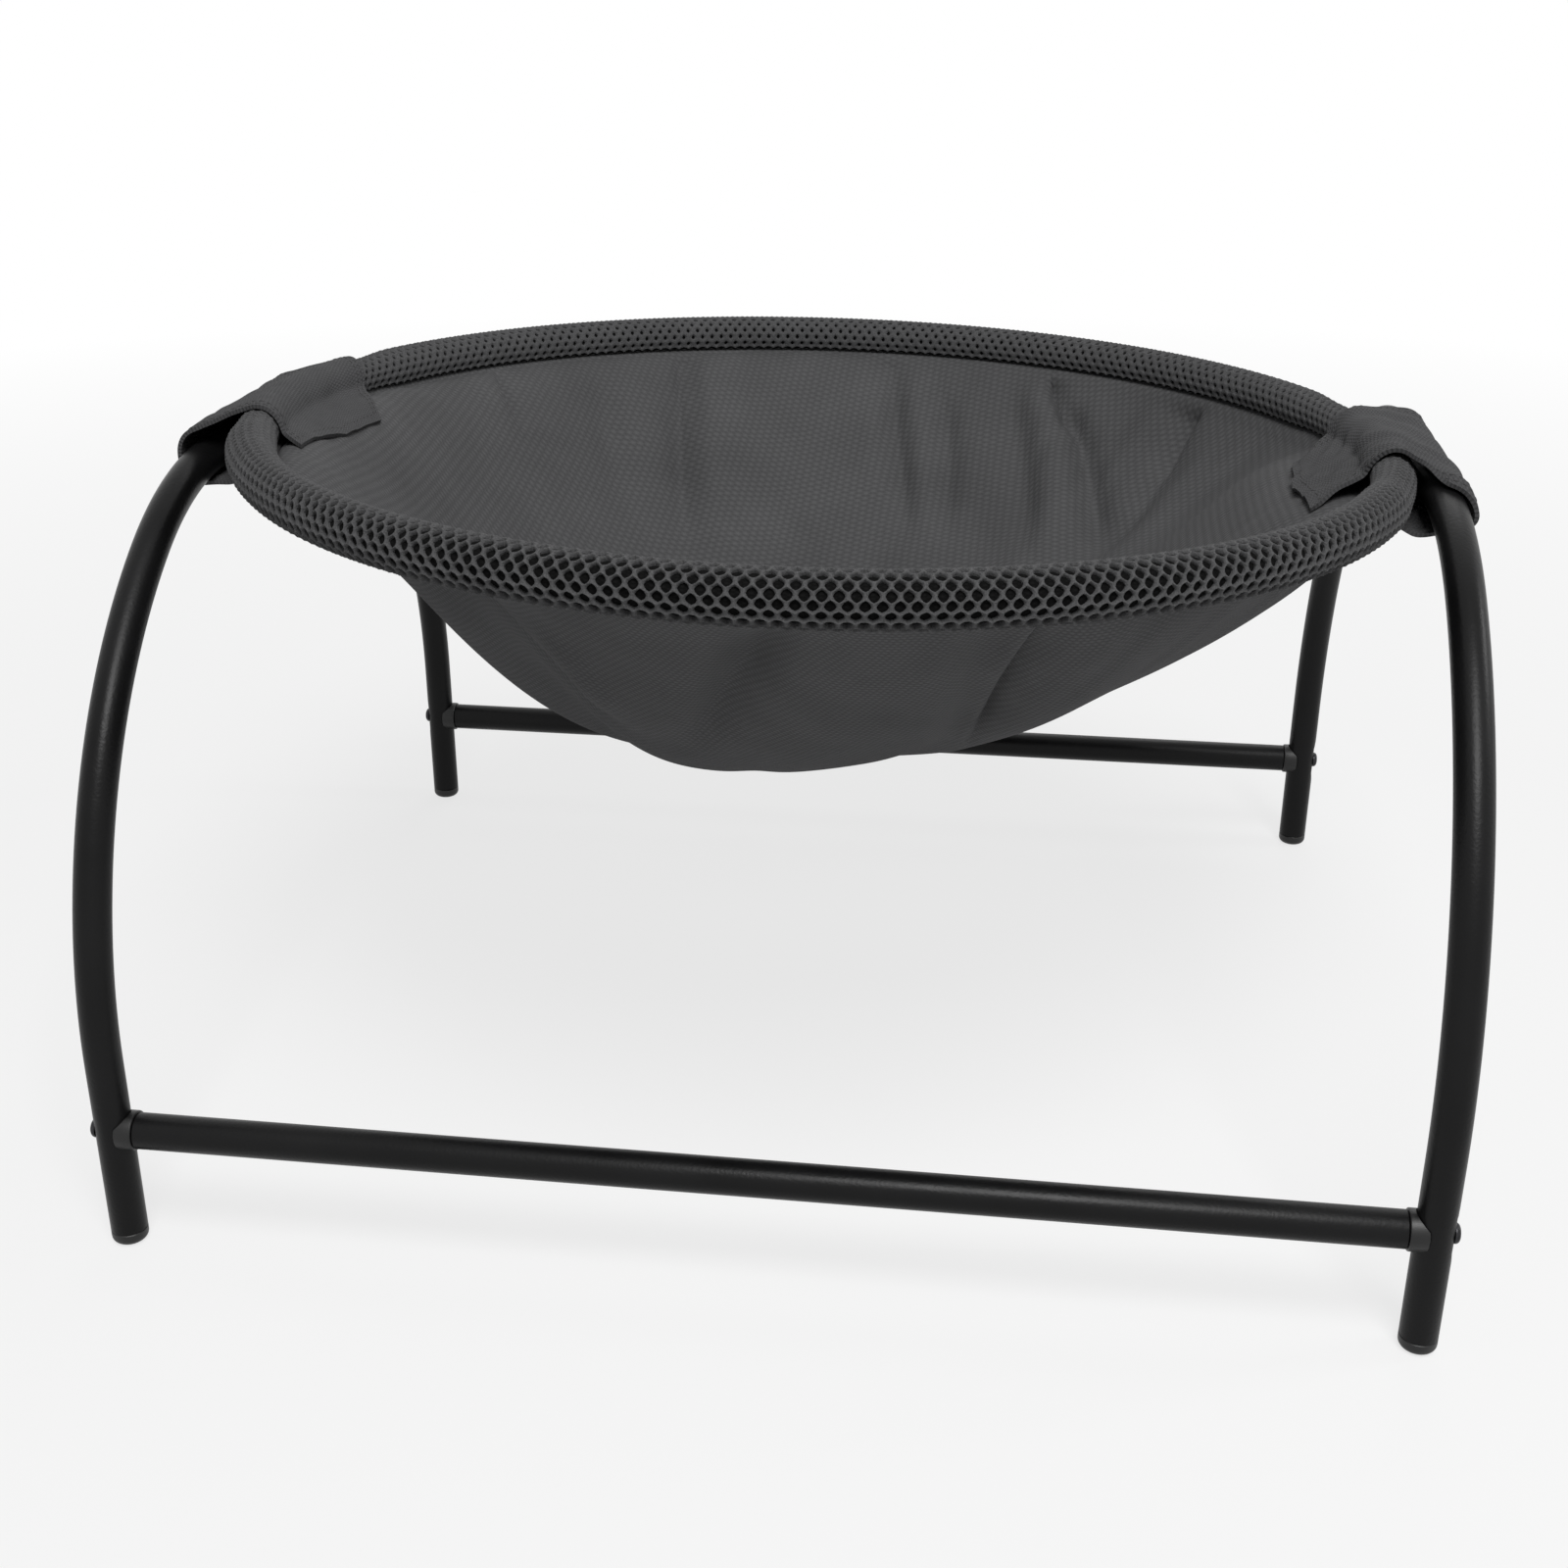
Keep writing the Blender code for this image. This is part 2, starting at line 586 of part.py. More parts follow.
def sling_bowl(surface):
    """The hanging bowl: from the slit of the rim cover down to its low point, with its main folds."""
    hem = seam_offset(HOOP_RADIUS + 2 * SEAT_GAP + BOWL_THICKNESS / 2)
    turns = [math.tau * segment / BOWL_SEGMENTS for segment in range(BOWL_SEGMENTS)]
    rings = [[rim_point(turn, hem.x, hem.y) for turn in turns]]
    for ring in range(BOWL_RINGS):
        share = 1 - ring / BOWL_RINGS
        rings.append([bowl_point(share, turn) for turn in turns])
    bm = loft(rings, closed=False)
    bm.verts.ensure_lookup_table()
    bottom = bm.verts.new(bowl_point(0.0, 0.0))
    last = bm.verts[:][-1 - BOWL_SEGMENTS:-1]
    for i in range(BOWL_SEGMENTS):
        bm.faces.new((last[i], last[(i + 1) % BOWL_SEGMENTS], bottom))
    bowl = add_object("sling_bowl", bm, surface, SLING_PLACE)
    thicken(bowl, BOWL_THICKNESS)
    return bowl


def thicken(sheet, thickness):
    """Give a sheet its thickness, half to each side."""
    solid = sheet.modifiers.new("thickness", "SOLIDIFY")
    solid.thickness = thickness
    solid.offset = 0.0
    solid.use_even_offset = True


def rim_centre_at(outward, y):
    """Centre of the rim on one side at a depth y, and the slant at which that depth plane cuts it."""
    slant = math.asin((y + SLING_SHIFT_FRONT) / RIM_RADIUS)
    turn = slant if outward > 0 else math.pi - slant
    return SLING_PLACE @ rim_point(turn, 0.0, 0.0), slant


def flap_end(shape, y):
    """Where a sleeve's inner end lies on the bowl at a depth y."""
    rim, _ = rim_centre_at(shape.outward, y)
    x = rim.x - shape.outward * shape.reach
    spot = SLING_PLACE.inverted() @ Vector((x, y, rim.z))
    on_bowl = SLING_PLACE @ Vector((spot.x, spot.y, bowl_height_over(spot.x, spot.y)))
    return Vector((x, y, on_bowl.z + (SLEEVE_THICKNESS + BOWL_THICKNESS) / 2 + SLEEVE_FLAP_CLEARANCE))


def on_rim(outward, y, turn):
    """A point of a sleeve's wrap round the rim."""
    rim, slant = rim_centre_at(outward, y)
    wrap = RIM_SQUEEZED_RADIUS + SEAT_GAP + SLEEVE_EASE + SLEEVE_THICKNESS / 2
    across = wrap * math.cos(turn) / math.cos(slant)
    return Vector((rim.x + outward * across, y, rim.z + wrap * math.sin(turn)))


def on_bar(outward, y, turn, slack):
    """A point of a sleeve's wrap round the top bar, which stands off by the slack over the bar's shoulder."""
    wrap = TUBE_RADIUS + SEAT_GAP + SLEEVE_THICKNESS / 2
    wrap += slack * max(0.0, math.sin(turn)) ** 2
    height = TOP_HEIGHT - top_bar_drop(y) + wrap * math.sin(turn)
    return Vector((outward * (LEG_X + wrap * math.cos(turn)), y, height))


def sleeve_section(shape, y, end_y):
    """Points of a sleeve from under the rim, round the top bar at depth y, over the rim to its inner end."""
    outward = shape.outward
    rim, _ = rim_centre_at(outward, y)
    wrap_y = (y + end_y) / 2
    end = flap_end(shape, end_y)
    rim_reach = abs(on_rim(outward, y, math.pi / 2).z - rim.z)
    bar_top = on_bar(outward, y, math.pi / 2, shape.slack)
    across = Vector((LEG_X - outward * rim.x, bar_top.z - rim_reach - rim.z))
    top = math.pi / 2 + math.atan2(across.y, across.x)
    wrap_rim, _ = rim_centre_at(outward, wrap_y)
    from_rim = Vector((outward * (end.x - wrap_rim.x), end.z - wrap_rim.z))
    flap = math.tau + math.atan2(from_rim.y, from_rim.x) - math.acos(rim_reach / from_rim.length)
    section = [on_rim(outward, y, SLEEVE_SEWN_ANGLE)]
    under = on_bar(outward, y, SLEEVE_UNDER_ANGLE, 0.0)
    section.append((section[0] + under) / 2 - Vector((0.0, 0.0, shape.sag)))
    for step in range(SLEEVE_BAR_STEPS + 1):
        turn = SLEEVE_UNDER_ANGLE + (math.pi / 2 - SLEEVE_UNDER_ANGLE) * step / SLEEVE_BAR_STEPS
        section.append(on_bar(outward, y, turn, shape.slack))
    for step in range(SLEEVE_RIM_STEPS + 1):
        part = step / SLEEVE_RIM_STEPS
        section.append(on_rim(outward, y + (wrap_y - y) * part, top + (flap - top) * part))
    section.append(end)
    return section


def sleeve(shape, surface):
    """One fabric loop: sewn under the rim, round the top bar, over the rim and down inside the bowl."""
    bm = bmesh.new()
    rows = []
    for station in range(SLEEVE_STATIONS + 1):
        part = station / SLEEVE_STATIONS
        y = shape.back * part - shape.front * (1 - part)
        end_y = y + shape.front_in * (1 - part) - shape.back_in * part
        rows.append([bm.verts.new(point) for point in sleeve_section(shape, y, end_y)])
    for near, far in zip(rows, rows[1:]):
        for i in range(len(near) - 1):
            bm.faces.new((near[i], near[i + 1], far[i + 1], far[i]))
    made = add_object(shape.name, bm, surface)
    thicken(made, SLEEVE_THICKNESS)
    return made


def build():
    """Make every piece of the bed."""
    clear_scene()
    coat = material("satin_black_coat", (0.014, 0.014, 0.015), 0.38, 0.0)
    plastic = material("black_plastic", (0.006, 0.006, 0.006), 0.5)
    steel = material("blackened_steel", (0.02, 0.02, 0.021), 0.35, 1.0)
    brass = material("brass", (0.75, 0.55, 0.25), 0.35, 1.0)
    hoop_plastic = material("hoop_plastic", (0.03, 0.03, 0.03), 0.45)
    spacer = material("large_hole_spacer_mesh", (0.045, 0.045, 0.047), 0.85)
    mesh_cloth = material("fine_spacer_mesh", (0.052, 0.052, 0.054), 0.85)
    webbing = material("sleeve_fabric", (0.048, 0.048, 0.05), 0.85)

    side_frame("left_side_frame", -1, coat)
    side_frame("right_side_frame", 1, coat)
    crossbar("front_crossbar", -FOOT_HALF_DEPTH, coat)
    crossbar("rear_crossbar", FOOT_HALF_DEPTH, coat)

    corners = [
        ("front_left", -1, -FOOT_HALF_DEPTH),
        ("front_right", 1, -FOOT_HALF_DEPTH),
        ("rear_left", -1, FOOT_HALF_DEPTH),
        ("rear_right", 1, FOOT_HALF_DEPTH),
    ]
    for corner, outward, depth in corners:
        add_object(
            corner + "_foot_cap", foot_cap_mesh(), plastic, Matrix.Translation((outward * LEG_X, depth, 0))
        )
    crossbar_joints(corners, plastic, brass, steel)

    rim_hoop(hoop_plastic)
    hoop_joiner(hoop_plastic)
    rim_cover(spacer)
    sling_bowl(mesh_cloth)
    sleeve(LEFT_SLEEVE, webbing)
    sleeve(RIGHT_SLEEVE, webbing)


build()
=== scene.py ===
"""Looks of the cat sling bed: fine shapes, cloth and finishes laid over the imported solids.

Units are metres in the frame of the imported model: X runs across, Y from front to back, Z up. The bed is a
round mesh sling whose padded rim hangs in two sleeves from the top bars of two bent tube arches.
"""
import logging
import math
from dataclasses import dataclass
from enum import Enum
from typing import Any, Iterable, Sequence

import bpy
import numpy as np
from mathutils import Matrix, Vector


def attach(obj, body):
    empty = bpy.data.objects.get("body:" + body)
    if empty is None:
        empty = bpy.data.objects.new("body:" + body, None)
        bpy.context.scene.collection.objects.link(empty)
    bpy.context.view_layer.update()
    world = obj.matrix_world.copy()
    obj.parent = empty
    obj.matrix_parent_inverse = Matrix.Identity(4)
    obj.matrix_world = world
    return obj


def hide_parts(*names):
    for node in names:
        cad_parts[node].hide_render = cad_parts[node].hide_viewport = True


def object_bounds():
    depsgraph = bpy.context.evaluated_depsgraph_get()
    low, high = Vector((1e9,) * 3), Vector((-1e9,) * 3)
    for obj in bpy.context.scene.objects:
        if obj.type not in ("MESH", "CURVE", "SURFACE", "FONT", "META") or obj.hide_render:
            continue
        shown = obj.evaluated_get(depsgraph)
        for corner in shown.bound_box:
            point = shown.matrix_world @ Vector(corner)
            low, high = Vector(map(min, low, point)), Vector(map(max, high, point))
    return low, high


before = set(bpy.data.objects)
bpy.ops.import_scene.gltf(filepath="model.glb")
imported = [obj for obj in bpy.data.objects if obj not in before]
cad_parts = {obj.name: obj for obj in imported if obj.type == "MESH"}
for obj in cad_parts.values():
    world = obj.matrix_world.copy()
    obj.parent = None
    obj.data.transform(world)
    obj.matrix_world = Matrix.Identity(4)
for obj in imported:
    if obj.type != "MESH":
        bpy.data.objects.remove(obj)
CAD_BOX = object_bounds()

LOG = logging.getLogger("sling_bed")
Pair = tuple[float, float]
Triple = tuple[float, float, float]
Colour = Triple
Socket = bpy.types.NodeSocket

BODY = "root"
SIDES = (("left", -1), ("right", 1))
# The depth of the stand's middle in the model's frame.
MIDDLE_Y = 0.01485
# The air that is left between two pieces that fit together.
SEAT_GAP = 0.0003
# Faces that meet at a lower angle than this are shaded as one smooth surface.
SMOOTH_LIMIT = math.radians(32.0)
# The part of its range that a soft noise mostly keeps to.
NOISE_RANGE = (0.3, 0.7)


class Slot(Enum):
    """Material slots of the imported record."""

    COAT = "frame_coat"
    PLASTIC = "black_plastic"
    SCREW = "screw_steel"
    BRASS = "insert_brass"
    HOOP = "hoop_plastic"
    RIM = "rim_mesh"
    BOWL = "bowl_mesh"
    SLEEVE = "sleeve_fabric"


# Finishes: the node materials of every surface.


class NodeBench:
    """The nodes of one material, or of the surroundings, with short calls that add and join them."""

    def __init__(self, tree: bpy.types.NodeTree) -> None:
        """Work on a node tree, and on its Principled shader where it has one."""
        self.tree = tree
        self.shader = tree.nodes.get("Principled BSDF")

    def add(self, kind: str, values: dict[Any, Any] | None = None, **settings: Any) -> bpy.types.Node:
        """Add a node.

        Args:
            kind: Blender's name of the node's type.
            values: what each input holds, a number or the socket that feeds it.
            settings: the node's own settings.

        Returns:
            The new node.
        """
        node = self.tree.nodes.new(kind)
        for key, value in settings.items():
            setattr(node, key, value)
        for key, value in (values or {}).items():
            if isinstance(value, Socket):
                self.tree.links.new(value, node.inputs[key])
            else:
                node.inputs[key].default_value = value
        return node

    def place(self, kind: str = "Object") -> Socket:
        """Texture coordinates of one kind."""
        return self.add("ShaderNodeTexCoord").outputs[kind]

    def turned(self, vector: Socket, scale: Sequence[float], turn: float = 0.0) -> Socket:
        """Coordinates that are turned about Z, then scaled.

        Args:
            vector: the coordinates to change.
            scale: cells per metre along each axis.
            turn: angle in radians.

        Returns:
            The changed coordinates.
        """
        spun = self.add("ShaderNodeVectorRotate", {"Vector": vector, "Angle": turn}, rotation_type="Z_AXIS")
        values = {0: spun.outputs[0], 1: tuple(scale)}
        return self.add("ShaderNodeVectorMath", values, operation="MULTIPLY").outputs[0]

    def noise(self, vector: Socket, scale: float, detail: float = 2.0) -> Socket:
        """Soft noise from 0 to 1.

        Args:
            vector: where it is read.
            scale: grains per unit of the coordinates.
            detail: how many finer layers it holds.

        Returns:
            The noise value.
        """
        node = self.add("ShaderNodeTexNoise", {"Vector": vector, "Scale": scale, "Detail": detail})
        return node.outputs[0]

    def eyelets(self, vector: Socket) -> Socket:
        """Distance to the nearest point of an even grid, one point per unit."""
        values = {"Vector": vector, "Scale": 1.0, "Randomness": 0.0}
        return self.add("ShaderNodeTexVoronoi", values, voronoi_dimensions="2D").outputs["Distance"]

    def waves(self, vector: Socket) -> Socket:
        """Even waves along X, one per unit.

        Args:
            vector: the coordinates that they run over.

        Returns:
            The waves, from 0 to 1.
        """
        across = self.add("ShaderNodeSeparateXYZ", {"Vector": vector}).outputs["X"]
        turns = self.maths("MULTIPLY", across, math.tau)
        cosine = self.add("ShaderNodeMath", {0: turns}, operation="COSINE").outputs[0]
        return self.spread(cosine, 0.0, 1.0, -1.0, 1.0)

    def spread(
        self, value: Socket, low: float, high: float, start: float = 0.0, end: float = 1.0
    ) -> Socket:
        """Carry a value from one range to another.

        Args:
            value: the value to carry.
            low: result at the start.
            high: result at the end.
            start: where the first range starts.
            end: where the first range ends.

        Returns:
            The carried value, held inside the new range.
        """
        ranges = {"Value": value, "From Min": start, "From Max": end, "To Min": low, "To Max": high}
        return self.add("ShaderNodeMapRange", ranges).outputs[0]

    def maths(self, operation: str, first: Any, second: Any) -> Socket:
        """Join two values with one sum."""
        return self.add("ShaderNodeMath", {0: first, 1: second}, operation=operation).outputs[0]

    def join(self, value: Socket, name: str) -> None:
        """Join a value to one of the shader's sockets."""
        self.tree.links.new(value, self.shader.inputs[name])

    def tint(self, colour: Colour, value: Socket) -> None:
        """Paint the shader's base colour, made lighter or darker by a factor around 1."""
        painted = self.add("ShaderNodeVectorMath", {0: colour, 1: value}, operation="MULTIPLY")
        self.join(painted.outputs[0], "Base Color")

    def patchy(self, colour: Colour, patches: Socket, shades: Pair, shine: float, rub: Pair) -> None:
        """Let soft patches change the brightness and the roughness of a colour together.

        Args:
            colour: the plain colour.
            patches: a soft noise.
            shades: factor on the brightness where the noise is low and high.
            shine: the plain roughness.
            rub: what is added to the roughness where the noise is low and high.
        """
        self.tint(colour, self.spread(patches, *shades, *NOISE_RANGE))
        self.join(self.spread(patches, shine + rub[0], shine + rub[1], *NOISE_RANGE), "Roughness")

    def relief(self, height: Socket, depth: float, under: Socket | None = None) -> Socket:
        """Turn a height into a bumped normal and join it to the shader.

        Args:
            height: the height, from 0 to 1.
            depth: how deep that is in metres.
            under: a bumped normal that this one lies on.

        Returns:
            The bumped normal.
        """
        values = {"Height": height, "Distance": depth, "Strength": 1.0}
        if under is not None:
            values["Normal"] = under
        bump = self.add("ShaderNodeBump", values).outputs[0]
        self.join(bump, "Normal")
        return bump

    def hold(self, **values: float) -> None:
        """Set plain numbers on the shader's own sockets, underscores standing for spaces."""
        for key, value in values.items():
            self.shader.inputs[key.replace("_", " ")].default_value = value


def blank_material(name: str) -> bpy.types.Material:
    """Start a material that holds one Principled shader.

    Args:
        name: the material's name.

    Returns:
        The new material.
    """
    made = bpy.data.materials.new(name)
    made.use_nodes = True
    return made


@dataclass(frozen=True)
class Finish:
    """A finish of one colour with a grain of its own."""

    name: str
    colour: Colour

    def dress(self, bench: NodeBench) -> None:
        """Lay the finish's nodes on a bench."""
        raise NotImplementedError

    def material(self) -> bpy.types.Material:
        """Make the finish's material once, and give the same one again after that.

        Returns:
            The finish as a material.
        """
        made = bpy.data.materials.get(self.name)
        if made is None:
            made = blank_material(self.name)
            self.dress(NodeBench(made.node_tree))
        return made


@dataclass(frozen=True)
class PowderCoat(Finish):
    """Satin powder coat: a fine orange peel with patches a little duller where hands rub it."""

    shine: float = 0.34
    rub: Pair = (-0.04, 0.08)
    shades: Pair = (0.75, 1.3)
    peel_scale: float = 950.0
    peel_depth: float = 0.00006
    patch_scale: float = 24.0
    specular: float = 0.15

    def dress(self, bench: NodeBench) -> None:
        """Lay the finish's nodes.

        Args:
            bench: the bench of its material.
        """
        place = bench.place()
        peel = bench.noise(place, self.peel_scale, 1.0)
        patches = bench.noise(place, self.patch_scale, 4.0)
        bench.patchy(self.colour, patches, self.shades, self.shine, self.rub)
        bench.relief(peel, self.peel_depth)
        bench.hold(Specular_IOR_Level=self.specular)


@dataclass(frozen=True)
class MouldedPlastic(Finish):
    """Moulded plastic with a spark eroded grain and faint flow marks."""

    shine: float = 0.42
    grain_scale: float = 2600.0
    grain_depth: float = 0.00004
    flow_scale: Triple = (40.0, 40.0, 240.0)
    rub: Pair = (-0.05, 0.07)
    shades: Pair = (0.8, 1.25)
    specular: float = 0.4

    def dress(self, bench: NodeBench) -> None:
        """Lay the finish's nodes.

        Args:
            bench: the bench of its material.
        """
        place = bench.place()
        grain = bench.noise(place, self.grain_scale, 2.0)
        flow = bench.noise(bench.turned(place, self.flow_scale), 1.0, 3.0)
        bench.patchy(self.colour, flow, self.shades, self.shine, self.rub)
        bench.relief(grain, self.grain_depth)
        bench.hold(Specular_IOR_Level=self.specular)


@dataclass(frozen=True)
class BareMetal(Finish):
    """Metal with turning marks and patches worn smoother."""

    shine: float = 0.32
    mark_scale: Triple = (5200.0, 260.0, 260.0)
    mark_depth: float = 0.00002
    patch_scale: float = 420.0
    rub: Pair = (-0.1, 0.12)
    shades: Pair = (0.7, 1.35)

    def dress(self, bench: NodeBench) -> None:
        """Lay the finish's nodes.

        Args:
            bench: the bench of its material.
        """
        place = bench.place()
        marks = bench.noise(bench.turned(place, self.mark_scale), 1.0, 1.0)
        patches = bench.noise(place, self.patch_scale, 3.0)
        bench.patchy(self.colour, patches, self.shades, self.shine, self.rub)
        bench.relief(marks, self.mark_depth)
        bench.hold(Metallic=1.0)


@dataclass(frozen=True)
class NetYarn(Finish):
    """Multifilament yarn of the large-hole mesh: fine filaments, and patches where they lie closer."""

    filament_scale: float = 2100.0
    filament_depth: float = 0.00022
    patch_scale: float = 55.0
    patch_shade: float = 0.12

    def dress(self, bench: NodeBench) -> None:
        """Lay the finish's nodes.

        Args:
            bench: the bench of its material.
        """
        place = bench.place()
        filaments = bench.noise(place, self.filament_scale, 3.0)
        patches = bench.noise(place, self.patch_scale, 3.0)
        fine = bench.spread(filaments, 0.55, 1.15, 0.25, 0.75)
        broad = bench.spread(patches, -self.patch_shade, self.patch_shade)
        bench.tint(self.colour, bench.maths("ADD", fine, broad))
        bench.join(bench.spread(filaments, 0.95, 0.7), "Roughness")
        bench.relief(filaments, self.filament_depth)
        bench.hold(Specular_IOR_Level=0.1, Sheen_Weight=0.03, Sheen_Roughness=0.45)


@dataclass(frozen=True)
class MeshCloth(Finish):
    """Fine knitted mesh: ribs with staggered eyelets between them, laid in the cloth's own coordinates."""

    pitch: float = 0.0034
    row: float = 0.0026
    hole_dark: float = 0.72
    depth: float = 0.00028
    rib_share: float = 0.42
    rib_bright: float = 1.12
    eye_edge: Pair = (0.14, 0.5)
    gloss: Pair = (0.98, 0.78)
    fluff_scale: float = 2600.0
    fluff_shade: float = 0.12
    fluff_depth: float = 0.00008
    drift_scale: float = 30.0
    drift_shade: Pair = (0.92, 1.08)

    def dress(self, bench: NodeBench) -> None:
        """Lay the finish's nodes.

        Args:
            bench: the bench of its material.
        """
        cloth, solid = bench.place("UV"), bench.place()
        drift = bench.noise(solid, self.drift_scale, 2.0)
        cells = bench.turned(cloth, (0.5 / self.pitch, 1.0 / self.row, 0.0))
        staggered = bench.turned(cells, (1.0, 1.0, 0.0), math.radians(45.0))
        doubled = bench.turned(staggered, (math.sqrt(2.0), math.sqrt(2.0), 0.0))
        knit = bench.spread(bench.eyelets(doubled), 0.0, 1.0, *self.eye_edge)
        ribs = bench.waves(bench.turned(cloth, (1.0 / self.pitch, 1.0, 0.0)))
        rib_part = bench.maths("MULTIPLY", ribs, self.rib_share)
        knit_part = bench.maths("MULTIPLY", knit, 1.0 - self.rib_share)
        strand = bench.maths("ADD", rib_part, knit_part)
        fluff = bench.noise(solid, self.fluff_scale, 2.0)
        shade = bench.spread(strand, self.hole_dark, self.rib_bright)
        fluffy = bench.spread(fluff, -self.fluff_shade, self.fluff_shade, 0.2, 0.8)
        shade = bench.maths("ADD", shade, fluffy)
        shade = bench.maths("MULTIPLY", shade, bench.spread(drift, *self.drift_shade, *NOISE_RANGE))
        bench.tint(self.colour, shade)
        bench.join(bench.spread(strand, *self.gloss), "Roughness")
        bench.relief(strand, self.depth, bench.relief(fluff, self.fluff_depth))
        bench.hold(Specular_IOR_Level=0.08, Sheen_Weight=0.02, Sheen_Roughness=0.5)


@dataclass(frozen=True)
class SpunThread(Finish):
    """Twisted sewing thread."""

    twist_scale: Triple = (3600.0, 3600.0, 3600.0)
    twist_turn: float = 0.6
    twist_depth: float = 0.0001

    def dress(self, bench: NodeBench) -> None:
        """Lay the finish's nodes.

        Args:
            bench: the bench of its material.
        """
        twist = bench.noise(bench.turned(bench.place(), self.twist_scale, self.twist_turn), 1.0, 1.0)
        bench.tint(self.colour, bench.spread(twist, 0.7, 1.3, *NOISE_RANGE))
        bench.join(bench.spread(twist, 0.75, 0.55), "Roughness")
        bench.relief(twist, self.twist_depth)
        bench.hold(Specular_IOR_Level=0.35)


FRAME_COAT = PowderCoat("frame_powder_coat", (0.0048, 0.0048, 0.005))
CAP_PLASTIC = MouldedPlastic("cap_plastic", (0.0045, 0.0045, 0.0045))
HOOP_PLASTIC = MouldedPlastic("hoop_tube_plastic", (0.02, 0.02, 0.02), shine=0.5, grain_scale=1500.0)
SCREW_METAL = BareMetal("blackened_screw", (0.035, 0.035, 0.037), shine=0.38)
INSERT_METAL = BareMetal("turned_brass", (0.72, 0.52, 0.24), shine=0.28)
NET_YARN = NetYarn("rim_net_yarn", (0.085, 0.085, 0.087))
# The lining is a real backing layer, but its near-black colour, darker than the rest of the cloth, is
# painted shade: the shadow seen through the rim net's eyelets.
LINING_PAINTED_SHADE = MeshCloth(
    "rim_lining_painted_shade", (0.004, 0.004, 0.004), pitch=0.0016, row=0.0016, hole_dark=0.6, depth=0.0001
)
BOWL_CLOTH = MeshCloth("bowl_fine_mesh", (0.080, 0.080, 0.082))
SLEEVE_CLOTH = MeshCloth(
    "sleeve_fine_mesh", (0.064, 0.064, 0.066), pitch=0.0016, row=0.0014, hole_dark=0.7, depth=0.00025,
    rib_share=0.35,
)
THREAD = SpunThread("black_thread", (0.008, 0.008, 0.008))


# Meshes: how points and faces are made and laid.


def smoothstep(value: np.ndarray | float) -> np.ndarray:
    """A soft step from 0 to 1 of a value held between 0 and 1."""
    held = np.clip(value, 0.0, 1.0)
    return held * held * (3.0 - 2.0 * held)


def even_turns(count: int) -> np.ndarray:
    """Even directions all the way round, in radians."""
    return np.arange(count) * math.tau / count


def summed(steps: np.ndarray) -> np.ndarray:
    """Running sum of some steps, from 0."""
    return np.concatenate([[0.0], np.cumsum(steps)])


def path_reach(path: np.ndarray) -> np.ndarray:
    """How far along a path each of its points lies."""
    return summed(np.linalg.norm(np.diff(path, axis=0), axis=1))


def carried(points: np.ndarray, place: Matrix) -> np.ndarray:
    """Points carried by a matrix."""
    matrix = np.array(place)
    return points @ matrix[:3, :3].T + matrix[:3, 3]


def degrees_off(turn: np.ndarray, at: np.ndarray | float) -> np.ndarray:
    """Angle in degrees between a direction in radians and one in degrees, from -180 to 180."""
    return (np.degrees(turn) - at + 180.0) % 360.0 - 180.0


def in_scene(name: str, data: bpy.types.ID) -> bpy.types.Object:
    """Add an object to the scene.

    Args:
        name: the object's name.
        data: its mesh, lamp or camera.

    Returns:
        The new object.
    """
    made = bpy.data.objects.new(name, data)
    bpy.context.scene.collection.objects.link(made)
    return made


def grid_quads(rows: int, columns: int, wrap_rows: bool = False, wrap_columns: bool = False) -> np.ndarray:
    """Corner numbers of the quads of a grid.

    Args:
        rows: points down the grid.
        columns: points across it.
        wrap_rows: whether the last row joins the first.
        wrap_columns: whether the last column joins the first.

    Returns:
        One row of four corner numbers per quad.
    """
    down, across = np.arange(rows - (not wrap_rows)), np.arange(columns - (not wrap_columns))
    i, j = (numbers.ravel() for numbers in np.meshgrid(down, across, indexing="ij"))
    here, below, beside = i * columns, (i + 1) % rows * columns, (j + 1) % columns
    return np.stack([here + j, here + beside, below + beside, below + j], 1)


